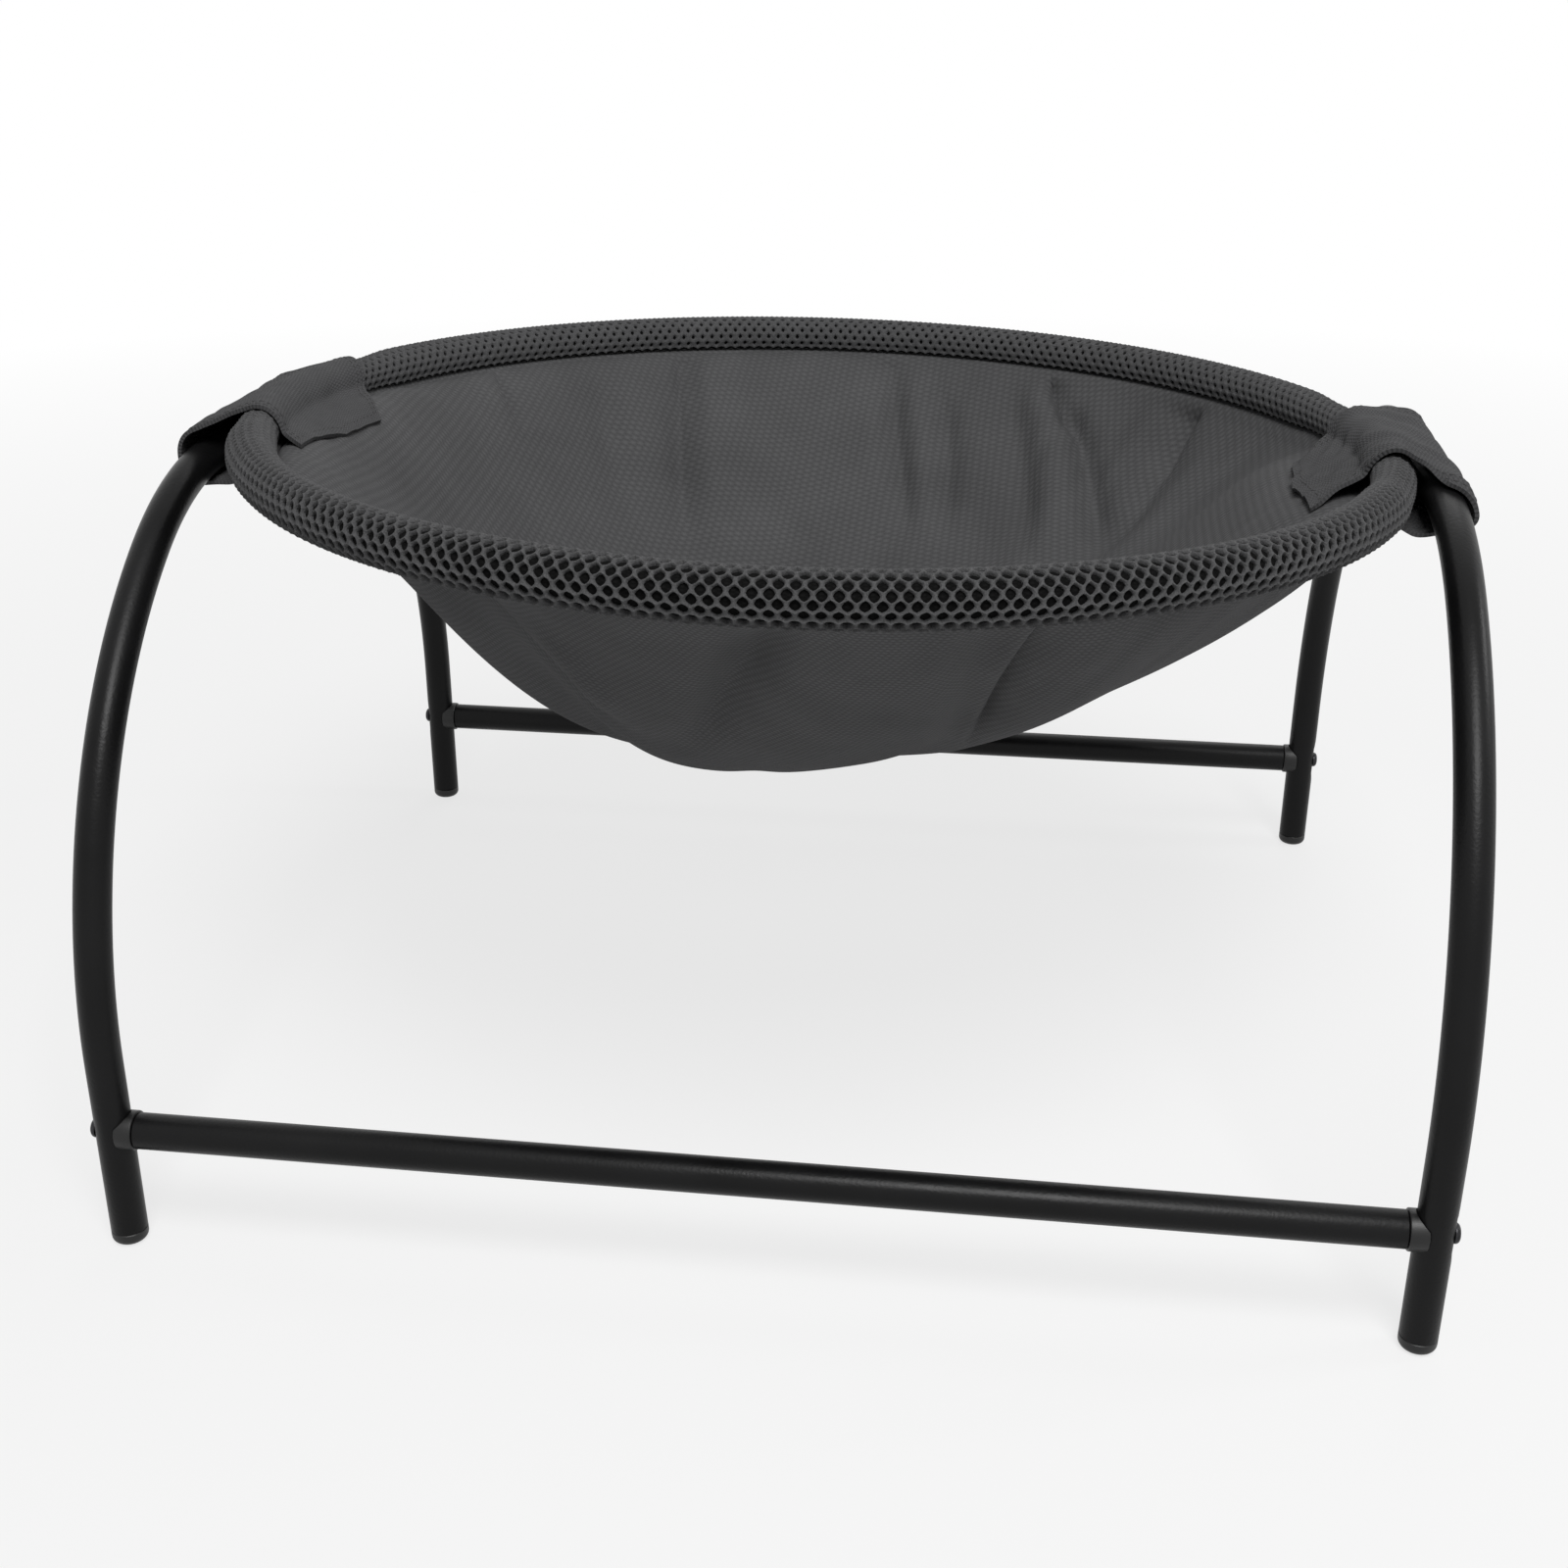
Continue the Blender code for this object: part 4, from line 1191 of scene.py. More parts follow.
@dataclass(frozen=True)
class SlingShape:
    """Where the sling hangs, and the lines that its rim and bowl follow.

    The fullness and the ease are the two powers of the bowl's profile. Each holds a plain value and what is
    added towards the right and towards the front.
    """

    rim_radius: float = 0.194
    cover_radius: float = 0.0082
    squeeze: float = 0.001
    hoop_radius: float = 0.005
    seam_angle: float = math.radians(225.0)
    shift_right: float = 0.0025
    shift_front: float = 0.0201
    rim_height: float = 0.2411
    dip_right: float = math.radians(1.15)
    dip_back: float = math.radians(0.97)
    bowl_depth: float = 0.110
    bowl_thickness: float = 0.0016
    low_left: float = 0.0138
    low_back: float = 0.0052
    fullness: Triple = (2.13, -0.75, 0.18)
    ease: Triple = (1.25, -0.59, 0.04)
    held_past: float = 0.004
    held_fade: float = 0.018
    pulls: tuple[Fold, ...] = (Fold(2.0, 0.0, 20.0, 0.026), Fold(180.0, 0.0, 25.0, 0.010))
    folds: tuple[Fold, ...] = (
        Fold(41.0, -40.0, 6.0, 0.005),
        Fold(64.0, -50.0, 6.5, 0.006),
        Fold(78.0, -20.0, 8.0, 0.003),
        Fold(112.0, 0.0, 8.0, 0.003),
        Fold(143.0, 10.0, 6.0, 0.003),
        Fold(230.0, 0.0, 10.0, 0.016),
        Fold(269.0, 0.0, 7.0, 0.004),
        Fold(295.0, 25.0, 6.0, 0.005),
        Fold(306.0, 15.0, 9.0, -0.006),
    )

    @property
    def place(self) -> Matrix:
        """Matrix from the sling's own frame to the model's."""
        return (
            Matrix.Translation((self.shift_right, MIDDLE_Y - self.shift_front, self.rim_height))
            @ Matrix.Rotation(self.dip_right, 4, "Y")
            @ Matrix.Rotation(-self.dip_back, 4, "X")
        )

    def to_model(self, points: np.ndarray) -> np.ndarray:
        """Carry points from the sling's own frame to the model's."""
        return carried(points, self.place)

    def to_sling(self, points: np.ndarray) -> np.ndarray:
        """Carry points from the model's frame to the sling's own."""
        return carried(points, self.place.inverted())

    def rim_points(self, turn: np.ndarray, radius: np.ndarray, section: np.ndarray) -> np.ndarray:
        """Points round the hoop's centre line.

        Args:
            turn: direction round the rim.
            radius: distance from the centre line.
            section: angle round it, 0 pointing outward and a quarter turn up.

        Returns:
            Points in the sling's own frame.
        """
        reach, rise = self.rim_radius + radius * np.cos(section), radius * np.sin(section) + 0 * turn
        return np.stack([reach * np.cos(turn), reach * np.sin(turn), rise], -1)

    def squeezed(self, turn: np.ndarray, sleeves: Sequence["Sleeve"]) -> np.ndarray:
        """How far the sleeves squeeze the rim.

        Args:
            turn: directions round the rim.
            sleeves: the sleeves that hold it.

        Returns:
            The squeeze at each direction, from 0 to 1.
        """
        held = np.zeros_like(turn)
        y = self.rim_radius * np.sin(turn) - self.shift_front
        for sleeve in sleeves:
            past = np.maximum(-sleeve.front - y, y - sleeve.back)
            beside = 1 - smoothstep((past - self.held_past) / self.held_fade)
            held = np.maximum(held, np.where(np.cos(turn) * sleeve.outward > 0, beside, 0.0))
        return held

    def mouth(self, reach: float) -> np.ndarray:
        """Offset (out, rise) from the hoop's centre line along the rim's seam."""
        return reach * np.array([math.cos(self.seam_angle), math.sin(self.seam_angle)])

    def drop(self, share: np.ndarray, turn: np.ndarray) -> np.ndarray:
        """How deep the bowl hangs, as a share of its full depth.

        Args:
            share: how far from the middle to the rim.
            turn: direction round the rim.

        Returns:
            The share of the depth.
        """
        waves = np.stack([np.ones_like(turn), np.cos(turn), -np.sin(turn)], -1)
        fullness, ease = waves @ np.array(self.fullness), waves @ np.array(self.ease)
        return np.maximum(0.0, 1 - share ** fullness) ** ease

    @staticmethod
    def hump(share: np.ndarray, power: int) -> np.ndarray:
        """A smooth rise from 0 at the middle to 1, and back to 0 at the rim."""
        peak = power / (power + 1)
        return share ** power * (1 - share) / (peak ** power * (1 - peak))

    def lift(self, share: np.ndarray, turn: np.ndarray) -> np.ndarray:
        """How far the folds and the sleeves lift the cloth.

        Args:
            share: how far from the middle to the rim.
            turn: direction round the rim.

        Returns:
            The lift, which is nothing at the middle and at the rim.
        """
        folds = sum(
            fold.lift * np.exp(-((degrees_off(turn, fold.at + fold.swing * (1 - share)) / fold.width) ** 2))
            for fold in self.folds
        )
        pulls = sum(
            pull.lift * np.exp(-((degrees_off(turn, pull.at) / pull.width) ** 4)) for pull in self.pulls
        )
        return folds * self.hump(share, 3) + pulls * self.hump(share, 6)

    def bowl(self, share: np.ndarray, turn: np.ndarray) -> np.ndarray:
        """Points of the bowl's middle surface in the sling's own frame.

        Args:
            share: how far from the middle to the rim.
            turn: direction round the rim.

        Returns:
            The points.
        """
        mouth = self.mouth(self.cover_radius + self.bowl_thickness)
        drop = self.drop(share, turn)
        reach = (self.rim_radius + mouth[0]) * share
        across = reach * np.cos(turn) - drop * self.low_left
        deep = reach * np.sin(turn) + drop * self.low_back
        return np.stack([across, deep, mouth[1] - self.bowl_depth * drop + self.lift(share, turn)], -1)

    def bowl_height(self, x: np.ndarray, y: np.ndarray, rounds: int = 12) -> np.ndarray:
        """Height of the bowl's middle surface over spots of the sling's own plane.

        Args:
            x: how far right the spots are.
            y: how far back they are.
            rounds: how often the shift of the low point is worked out again.

        Returns:
            The heights.
        """
        edge = self.rim_radius + self.mouth(self.cover_radius + self.bowl_thickness)[0]
        drop = np.zeros_like(x)
        for _ in range(rounds):
            across, deep = x + drop * self.low_left, y - drop * self.low_back
            share, turn = np.minimum(1.0, np.hypot(across, deep) / edge), np.arctan2(deep, across)
            drop = self.drop(share, turn)
        return self.bowl(share, turn)[..., 2]


@dataclass(frozen=True)
class Sleeve:
    """A cloth loop: sewn under the rim, round the top bar, over the rim and down inside the bowl.

    Each hem gives the depth of an edge at seven places: at the rim's seam, under the bar, beside it, over
    it, over the rim, down the rim's inner side and at the inner end. The reaches say how far the end lies
    from the rim at the front hem, in the middle and at the back hem. The wrinkles are the heights of three
    soft waves: broad ones along the bar, slanted ones and ones that cross them.
    """

    side: str
    outward: int
    front: float
    back: float
    slack: float
    sag: float
    front_hem: tuple[float, ...]
    back_hem: tuple[float, ...]
    reaches: Triple
    sling: SlingShape
    stand: Stand
    thickness: float = 0.001
    hem_thickness: float = 0.0014
    hem_width: float = 0.006
    flap_clearance: float = 0.0003
    hug: float = math.radians(55.0)
    furthest_wrap: float = math.radians(205.0)
    wrinkles: Triple = (0.0010, 0.0005, 0.0004)
    wrinkle_start: float = 0.15
    sewn_angle: float = math.radians(262.0)
    under_angle: float = math.radians(-80.0)
    ease: float = 0.0003
    hem_fade: float = 0.0008
    side_seams: Pair = (0.0022, 0.0050)
    end_seam: float = 0.004
    on_bowl_share: float = 0.9
    stations: int = 110
    section_points: int = 130
    bar_points: int = 24
    rim_points: int = 16
    spacing: float = 0.0009
    soften_rounds: int = 5

    def rim_centre(self, y: float) -> tuple[np.ndarray, float]:
        """Centre of the rim at a depth from the stand's middle, and the slant at which that depth cuts it.

        Args:
            y: the depth.

        Returns:
            The point in the model's frame, and the slant in radians.
        """
        slant = math.asin((y + self.sling.shift_front) / self.sling.rim_radius)
        turn = slant if self.outward > 0 else math.pi - slant
        point = self.sling.rim_radius * np.array([math.cos(turn), math.sin(turn), 0.0])
        return self.sling.to_model(point), slant

    def over_bowl(self, points: np.ndarray) -> np.ndarray:
        """Heights at which the cloth lies on the bowl over some spots.

        Args:
            points: the spots in the model's frame.

        Returns:
            One height per spot.
        """
        spots = self.sling.to_sling(points)
        heights = self.sling.bowl_height(spots[:, 0], spots[:, 1])
        on_bowl = self.sling.to_model(np.stack([spots[:, 0], spots[:, 1], heights], -1))
        return on_bowl[:, 2] + (self.thickness + self.sling.bowl_thickness) / 2 + self.flap_clearance

    def flap_end(self, y: float, reach: float) -> np.ndarray:
        """Where the sleeve's inner end lies on the bowl at a depth.

        Args:
            y: the depth from the stand's middle.
            reach: how far the end lies from the rim.

        Returns:
            The point in the model's frame.
        """
        rim, _ = self.rim_centre(y)
        end = np.array([rim[0] - self.outward * reach, MIDDLE_Y + y, rim[2]])
        return np.array([end[0], end[1], self.over_bowl(end[None])[0]])

    def draped(self, line: np.ndarray, rim_x: float) -> np.ndarray:
        """A section whose inner stretch is lifted to lie on the bowl.

        Args:
            line: points of the section.
            rim_x: where the rim's centre is.

        Returns:
            The lifted points.
        """
        inside = self.outward * (line[:, 0] - rim_x) < -self.on_bowl_share * self.sling.cover_radius
        heights = np.where(inside, np.maximum(line[:, 2], self.over_bowl(line)), line[:, 2])
        return np.column_stack([line[:, :2], heights])

    def on_rim(self, y: float, turn: float) -> np.ndarray:
        """A point of the wrap round the rim.

        Args:
            y: the depth from the stand's middle.
            turn: angle round it, 0 pointing outward and a quarter turn up.

        Returns:
            The point in the model's frame.
        """
        rim, slant = self.rim_centre(y)
        wrap = self.sling.cover_radius - self.sling.squeeze + SEAT_GAP + self.ease + self.thickness / 2
        across = wrap * math.cos(turn) / math.cos(slant)
        return np.array([rim[0] + self.outward * across, MIDDLE_Y + y, rim[2] + wrap * math.sin(turn)])

    def on_bar(self, y: float, turn: float, slack: float) -> np.ndarray:
        """A point of the wrap round the top bar.

        Args:
            y: the depth from the stand's middle.
            turn: angle round it, 0 pointing outward and a quarter turn up.
            slack: how far the cloth stands off the bar on top.

        Returns:
            The point in the model's frame.
        """
        stand = self.stand
        wrap = stand.tube_radius + SEAT_GAP + self.thickness / 2 + slack * max(0.0, math.sin(turn)) ** 2
        past = max(0.0, abs(y) - stand.shoulder_start)
        down = stand.shoulder_radius - math.sqrt(stand.shoulder_radius ** 2 - past ** 2)
        height = stand.top_height - down + wrap * math.sin(turn)
        return np.array([self.outward * (stand.leg_x + wrap * math.cos(turn)), MIDDLE_Y + y, height])

    def section(self, part: float) -> np.ndarray:
        """Points of the sleeve from the rim's seam to the inner end, evenly spaced.

        Args:
            part: how far from the front hem to the back one, from 0 to 1.

        Returns:
            The points, with their corners softened.
        """
        seam_y, under_y, beside_y, over_y, top_y, side_y, end_y = (
            front * (1 - part) + back * part for front, back in zip(self.front_hem, self.back_hem)
        )
        rim, _ = self.rim_centre(top_y)
        end = self.flap_end(end_y, float(np.interp(part, (0.0, 0.5, 1.0), self.reaches)))
        rim_reach = abs(self.on_rim(top_y, math.pi / 2)[2] - rim[2])
        bar_top = self.on_bar(over_y, math.pi / 2, self.slack)
        rise, run = bar_top[2] - rim_reach - rim[2], self.stand.leg_x - self.outward * rim[0]
        top = math.pi / 2 + math.atan2(rise, run)
        side_rim, _ = self.rim_centre(side_y)
        inward = (self.outward * (end[0] - side_rim[0]), end[2] - side_rim[2])
        leaving = math.acos(min(1.0, rim_reach / math.hypot(*inward)))
        flap = math.tau + math.atan2(inward[1], inward[0]) - leaving
        flap = min(flap + self.hug, self.furthest_wrap)
        sewn, under = self.on_rim(seam_y, self.sewn_angle), self.on_bar(under_y, self.under_angle, 0.0)
        points = [sewn, (sewn + under) / 2 - [0.0, 0.0, self.sag]]
        for turn in np.linspace(self.under_angle, math.pi / 2, self.bar_points):
            y = float(np.interp(turn, (self.under_angle, 0.0, math.pi / 2), (under_y, beside_y, over_y)))
            points.append(self.on_bar(y, turn, self.slack))
        for share in np.linspace(0.0, 1.0, self.rim_points):
            points.append(self.on_rim(top_y + (side_y - top_y) * share, top + (flap - top) * share))
        points.append(end)
        line = np.array(points)
        line = between(line, spaced(line, self.spacing))
        line = self.draped(np.concatenate([[sewn], line, [end]]), side_rim[0])
        for _ in range(self.soften_rounds):
            line[1:-1] = line[1:-1] * 0.5 + (line[:-2] + line[2:]) * 0.25
        line = self.draped(line, side_rim[0])
        reach = path_reach(line)
        spots = np.interp(np.linspace(0.0, reach[-1], self.section_points), reach, np.arange(len(line)))
        return between(line, spots)

    def grid(self) -> np.ndarray:
        """The sleeve's middle surface by depth and by place along its section.

        Returns:
            The points, wrinkles included.
        """
        grid = np.array([self.section(part) for part in np.linspace(0.0, 1.0, self.stations)])
        normals = grid_normals(grid)
        return grid + normals * self.face_sign(normals) * self.wrinkle(grid)[..., None]

    def wrinkle(self, grid: np.ndarray) -> np.ndarray:
        """How far the soft wrinkles lift the cloth.

        Args:
            grid: the cloth's points by depth and by place along its section.

        Returns:
            The lift of each point.
        """
        shares = (np.linspace(0, 1, count) for count in grid.shape[:2])
        run, stretch = np.meshgrid(*shares, indexing="ij")
        broad = np.sin(math.tau * (4.3 * run + 0.7 * np.sin(math.tau * (1.1 * stretch + 0.1))))
        slanted = np.sin(math.tau * (7.1 * run - 3.1 * stretch + 0.3 * np.sin(5.0 * run)))
        crossing = np.sin(math.tau * (2.3 * run + 8.0 * stretch))
        waves = np.stack([broad, slanted, crossing], -1)
        return (0.5 + 0.5 * waves) @ np.array(self.wrinkles) * smoothstep(stretch / self.wrinkle_start)

    def build(self) -> None:
        """Make the sleeve with its hems and stitches."""
        grid = self.grid()
        across = summed(np.linalg.norm(np.diff(grid, axis=0), axis=2).mean(1))
        along = summed(np.linalg.norm(np.diff(grid, axis=1), axis=2).mean(0))
        edge = np.minimum(across, across[-1] - across)[:, None]
        end = np.minimum(edge, (along[-1] - along)[None])
        hem = 1 - smoothstep((end - self.hem_width) / self.hem_fade)
        thickness = self.thickness + (self.hem_thickness - self.thickness) * hem
        sheet = shell(grid, thickness, np.stack(np.meshgrid(across, along, indexing="ij"), -1))
        made = piece(f"{self.side}_sleeve_cloth", sheet, SLEEVE_CLOTH, [f"{self.side}_sleeve"])
        stitches = self.stitches(grid, thickness, across, along)
        thread = piece(f"{self.side}_sleeve_stitches", stitches, THREAD)

    def stitches(
        self, grid: np.ndarray, thickness: np.ndarray, across: np.ndarray, along: np.ndarray
    ) -> Shape:
        """Two rows of stitches along each side hem and one along the inner end.

        Args:
            grid: the cloth's middle surface.
            thickness: its thickness at each point.
            across: how far each row of the grid is from the front hem.
            along: how far each column is from the rim's seam.

        Returns:
            All the stitches as one shape.
        """
        normals = grid_normals(grid)
        outward = normals * self.face_sign(normals)
        upper = grid + normals * thickness[..., None] / 2 * self.face_sign(normals)
        rows, columns = np.arange(self.stations), np.arange(self.section_points)
        starts = [start for inset in self.side_seams for start in (inset, across[-1] - inset)]
        numbers = [np.interp(start, across, rows) for start in starts]
        seams = [(np.full(len(columns), number), columns, slice(2, -4)) for number in numbers]
        end = np.interp(along[-1] - self.end_seam, along, columns)
        seams.append((rows, np.full(len(rows), end), slice(3, -3)))
        made: Shape | None = None
        for down, beside, kept in seams:
            line, out = self.read(upper, down, beside), self.read(outward, down, beside)
            row = Stitching().along(line[kept], out[kept])
            made = row if made is None else made.plus(row)
        return made

    @staticmethod
    def face_sign(normals: np.ndarray) -> float:
        """1 if the normals of the stretch over the bar and the rim point up, -1 if they point down."""
        return 1.0 if normals[:, normals.shape[1] // 2, 2].mean() > 0 else -1.0

    @staticmethod
    def read(values: np.ndarray, rows: np.ndarray, columns: np.ndarray) -> np.ndarray:
        """Values of a grid at fractional rows and columns.

        Args:
            values: the grid.
            rows: fractional row numbers.
            columns: fractional column numbers, one for each row number.

        Returns:
            One value per pair of numbers.
        """
        low_r = np.clip(np.floor(rows).astype(int), 0, values.shape[0] - 2)
        low_c = np.clip(np.floor(columns).astype(int), 0, values.shape[1] - 2)
        r, c = (rows - low_r)[:, None], (columns - low_c)[:, None]
        near = values[low_r, low_c] * (1 - c) + values[low_r, low_c + 1] * c
        far = values[low_r + 1, low_c] * (1 - c) + values[low_r + 1, low_c + 1] * c
        return near * (1 - r) + far * r


@dataclass(frozen=True)
class RimCover:
    """The padded rim: a lining round the hoop under a knitted net of large eyelets; the lining's near-black
    colour is painted shade.

    Depths are taken from the rim's outer surface. The band and the stitches lie about its seam, and the
    eyelets draw closed over its top, from closing_start degrees on.
    """

    sling: SlingShape
    sleeves: tuple[Sleeve, ...]
    cells_round: int = 280
    cell_rows: int = 15
    margin: float = math.radians(17.0)
    lining_under: float = 0.0014
    lining_round: int = 420
    lining_steps: int = 72
    lining_run: float = 0.09
    lining_width: float = 0.046
    band_under: float = 0.0003
    band_half: float = math.radians(17.0)
    band_fade: float = math.radians(5.0)
    edge_curl: float = 0.0008
    hole_half_width: float = 0.00155
    hole_half_height: float = 0.00185
    hole_roundness: float = 1.45
    closed_share: float = 0.5
    closing_start: float = 70.0
    closing_run: float = 60.0
    knot_proud: float = 0.00022
    strand_sunk: float = 0.00004
    strand_round: float = 0.00012
    wall_start: float = 0.0006
    wall_past: float = 0.0002
    stitch_offset: float = math.radians(13.0)
    stitch_points: int = 900

    def radius(self, turn: np.ndarray) -> np.ndarray:
        """Radius of the padded rim at a direction."""
        return self.sling.cover_radius - self.sling.squeeze * self.sling.squeezed(turn, self.sleeves)

    def lining(self) -> Shape:
        """The lining: a C section that opens at the seam, its doubled edges raised in a plain band.

        Returns:
            The lining in the model's frame.
        """
        sling = self.sling
        slit = sling.bowl_thickness / 2 + SEAT_GAP
        turn = even_turns(self.lining_round)[:, None]
        outer_start = math.asin(slit / sling.cover_radius)
        inner = sling.hoop_radius + 2 * SEAT_GAP
        inner_start = math.asin(slit / inner)
        outer_sweep = np.linspace(outer_start, math.tau - outer_start, self.lining_steps)
        inner_sweep = np.linspace(math.tau - inner_start, inner_start, self.lining_steps // 2)
        edge = np.minimum(outer_sweep, math.tau - outer_sweep)
        band = 1 - smoothstep((edge - self.band_half) / self.band_fade)
        curl = self.edge_curl * (1 - smoothstep((edge - outer_start) / self.band_fade))
        under = self.lining_under + (self.band_under - self.lining_under) * band + curl
        outer_angle, inner_angle = sling.seam_angle + outer_sweep[None], sling.seam_angle + inner_sweep[None]
        outside = sling.rim_points(turn, self.radius(turn) - under[None], outer_angle)
        inside = sling.rim_points(turn, np.full_like(turn, inner), inner_angle)
        section = np.concatenate([outside, inside], 1)
        run = np.linspace(0, self.lining_run, section.shape[1])
        cloth = np.stack(np.meshgrid(turn[:, 0] * sling.rim_radius, run, indexing="ij"), -1)
        return Shape.from_grid(sling.to_model(section), True, True, cloth)

    def net(self) -> Shape:
        """The net: hexagonal eyelets in staggered rows, with raised knots and walls that reach the lining.

        Returns:
            The net in the model's frame.
        """
        sling = self.sling
        sweep = math.tau - 2 * self.margin
        row = sweep / (self.cell_rows + 1 / 3)
        pitch_length = math.tau * sling.rim_radius / self.cells_round
        row_length = row * sling.cover_radius
        near, far = 1 / 3, 2 / 3
        corners = np.array([(0.0, far), (0.5, near), (0.5, -near), (0.0, -far), (-0.5, -near), (-0.5, near)])
        middles = (corners + np.roll(corners, -1, 0)) / 2
        outer = np.stack([corners, middles], 1).reshape(-1, 2)
        around = len(outer)
        facing = np.arctan2(outer[:, 1] * row_length, outer[:, 0] * pitch_length)
        power = self.hole_roundness
        bulge = (np.abs(np.cos(facing)) ** power + np.abs(np.sin(facing)) ** power) ** (-1 / power)
        hole = np.stack(
            [
                self.hole_half_width / pitch_length * np.cos(facing) * bulge,
                self.hole_half_height / row_length * np.sin(facing) * bulge,
            ],
            -1,
        )
        knot = np.where(np.arange(around) % 2 == 0, self.knot_proud, -self.strand_sunk)
        # From a strand's middle to the foot of its wall: the cell's share, the hole's share and the depth.
        rings = [
            (1.0, 0.0, -knot),
            (0.45, 0.55, -knot * 0.55 + self.strand_round),
            (0.0, 1.0, np.full(around, self.wall_start)),
            (0.0, 1.06, np.full(around, self.lining_under + self.wall_past)),
        ]
        rows, columns = np.meshgrid(np.arange(self.cell_rows), np.arange(self.cells_round), indexing="ij")
        centres = np.stack([columns + 0.5 * (rows % 2), rows + 2 / 3], -1).reshape(-1, 1, 2)
        spots, depths = [], []
        inward = np.degrees(sling.seam_angle + self.margin + centres[..., 1:] * row) - 360.0
        opened = 1 - self.closed_share * smoothstep((inward - self.closing_start) / self.closing_run)
        for edge_share, hole_share, depth in rings:
            spot = centres + edge_share * outer[None] + hole_share * opened * hole[None]
            spots.append(spot.reshape(-1, 2))
            depths.append(np.broadcast_to(depth, (len(centres), around)).ravel())
        # Points that neighbouring cells share are found by their place, counted in twelfths of a cell.
        keys = np.round(np.stack([spots[0][:, 0] % self.cells_round, spots[0][:, 1]], -1) * 12).astype(int)
        keys[:, 0] %= self.cells_round * 12
        _, first, shared = np.unique(keys, axis=0, return_index=True, return_inverse=True)
        shared = shared.ravel()
        spot = np.concatenate([spots[0][first], *spots[1:]])
        depth = np.concatenate([depths[0][first], *depths[1:]])
        turn = spot[:, 0] * math.tau / self.cells_round
        section = sling.seam_angle + self.margin + spot[:, 1] * row
        points = sling.rim_points(turn, self.radius(turn) - depth, section)
        count = len(centres) * around
        numbers = [shared] + [len(first) + count * k + np.arange(count) for k in range(len(rings) - 1)]
        beside = (np.arange(count) // around) * around + (np.arange(count) + 1) % around
        pairs = zip(numbers, numbers[1:])
        quads = [np.stack([low, low[beside], high[beside], high], 1) for low, high in pairs]
        return Shape(sling.to_model(points), np.concatenate(quads).tolist())

    def stitches(self) -> Shape:
        """Two rows of stitches that hold the doubled edges on both sides of the seam.

        Returns:
            The stitches in the model's frame.
        """
        sling = self.sling
        turn, proud = np.linspace(0.0, math.tau, self.stitch_points), 0.001
        made: Shape | None = None
        for offset in (-self.stitch_offset, self.stitch_offset):
            section = np.full_like(turn, sling.seam_angle + offset)
            radius = self.radius(turn) - self.band_under
            path = sling.to_model(sling.rim_points(turn, radius, section))
            outer = sling.to_model(sling.rim_points(turn, radius + proud, section))
            row = Stitching().along(path, (outer - path) / proud)
            made = row if made is None else made.plus(row)
        return made

    def build(self) -> None:
        """Make the rim's lining, net and stitches."""
        # The lining's near-black finish is painted shade seen through the net's eyelets.
        lining = piece("rim_lining_cloth", self.lining(), LINING_PAINTED_SHADE, ["rim_cover"])
        net = piece("rim_net", self.net(), NET_YARN, ["rim_cover"])
        thread = piece("rim_stitches", self.stitches(), THREAD)


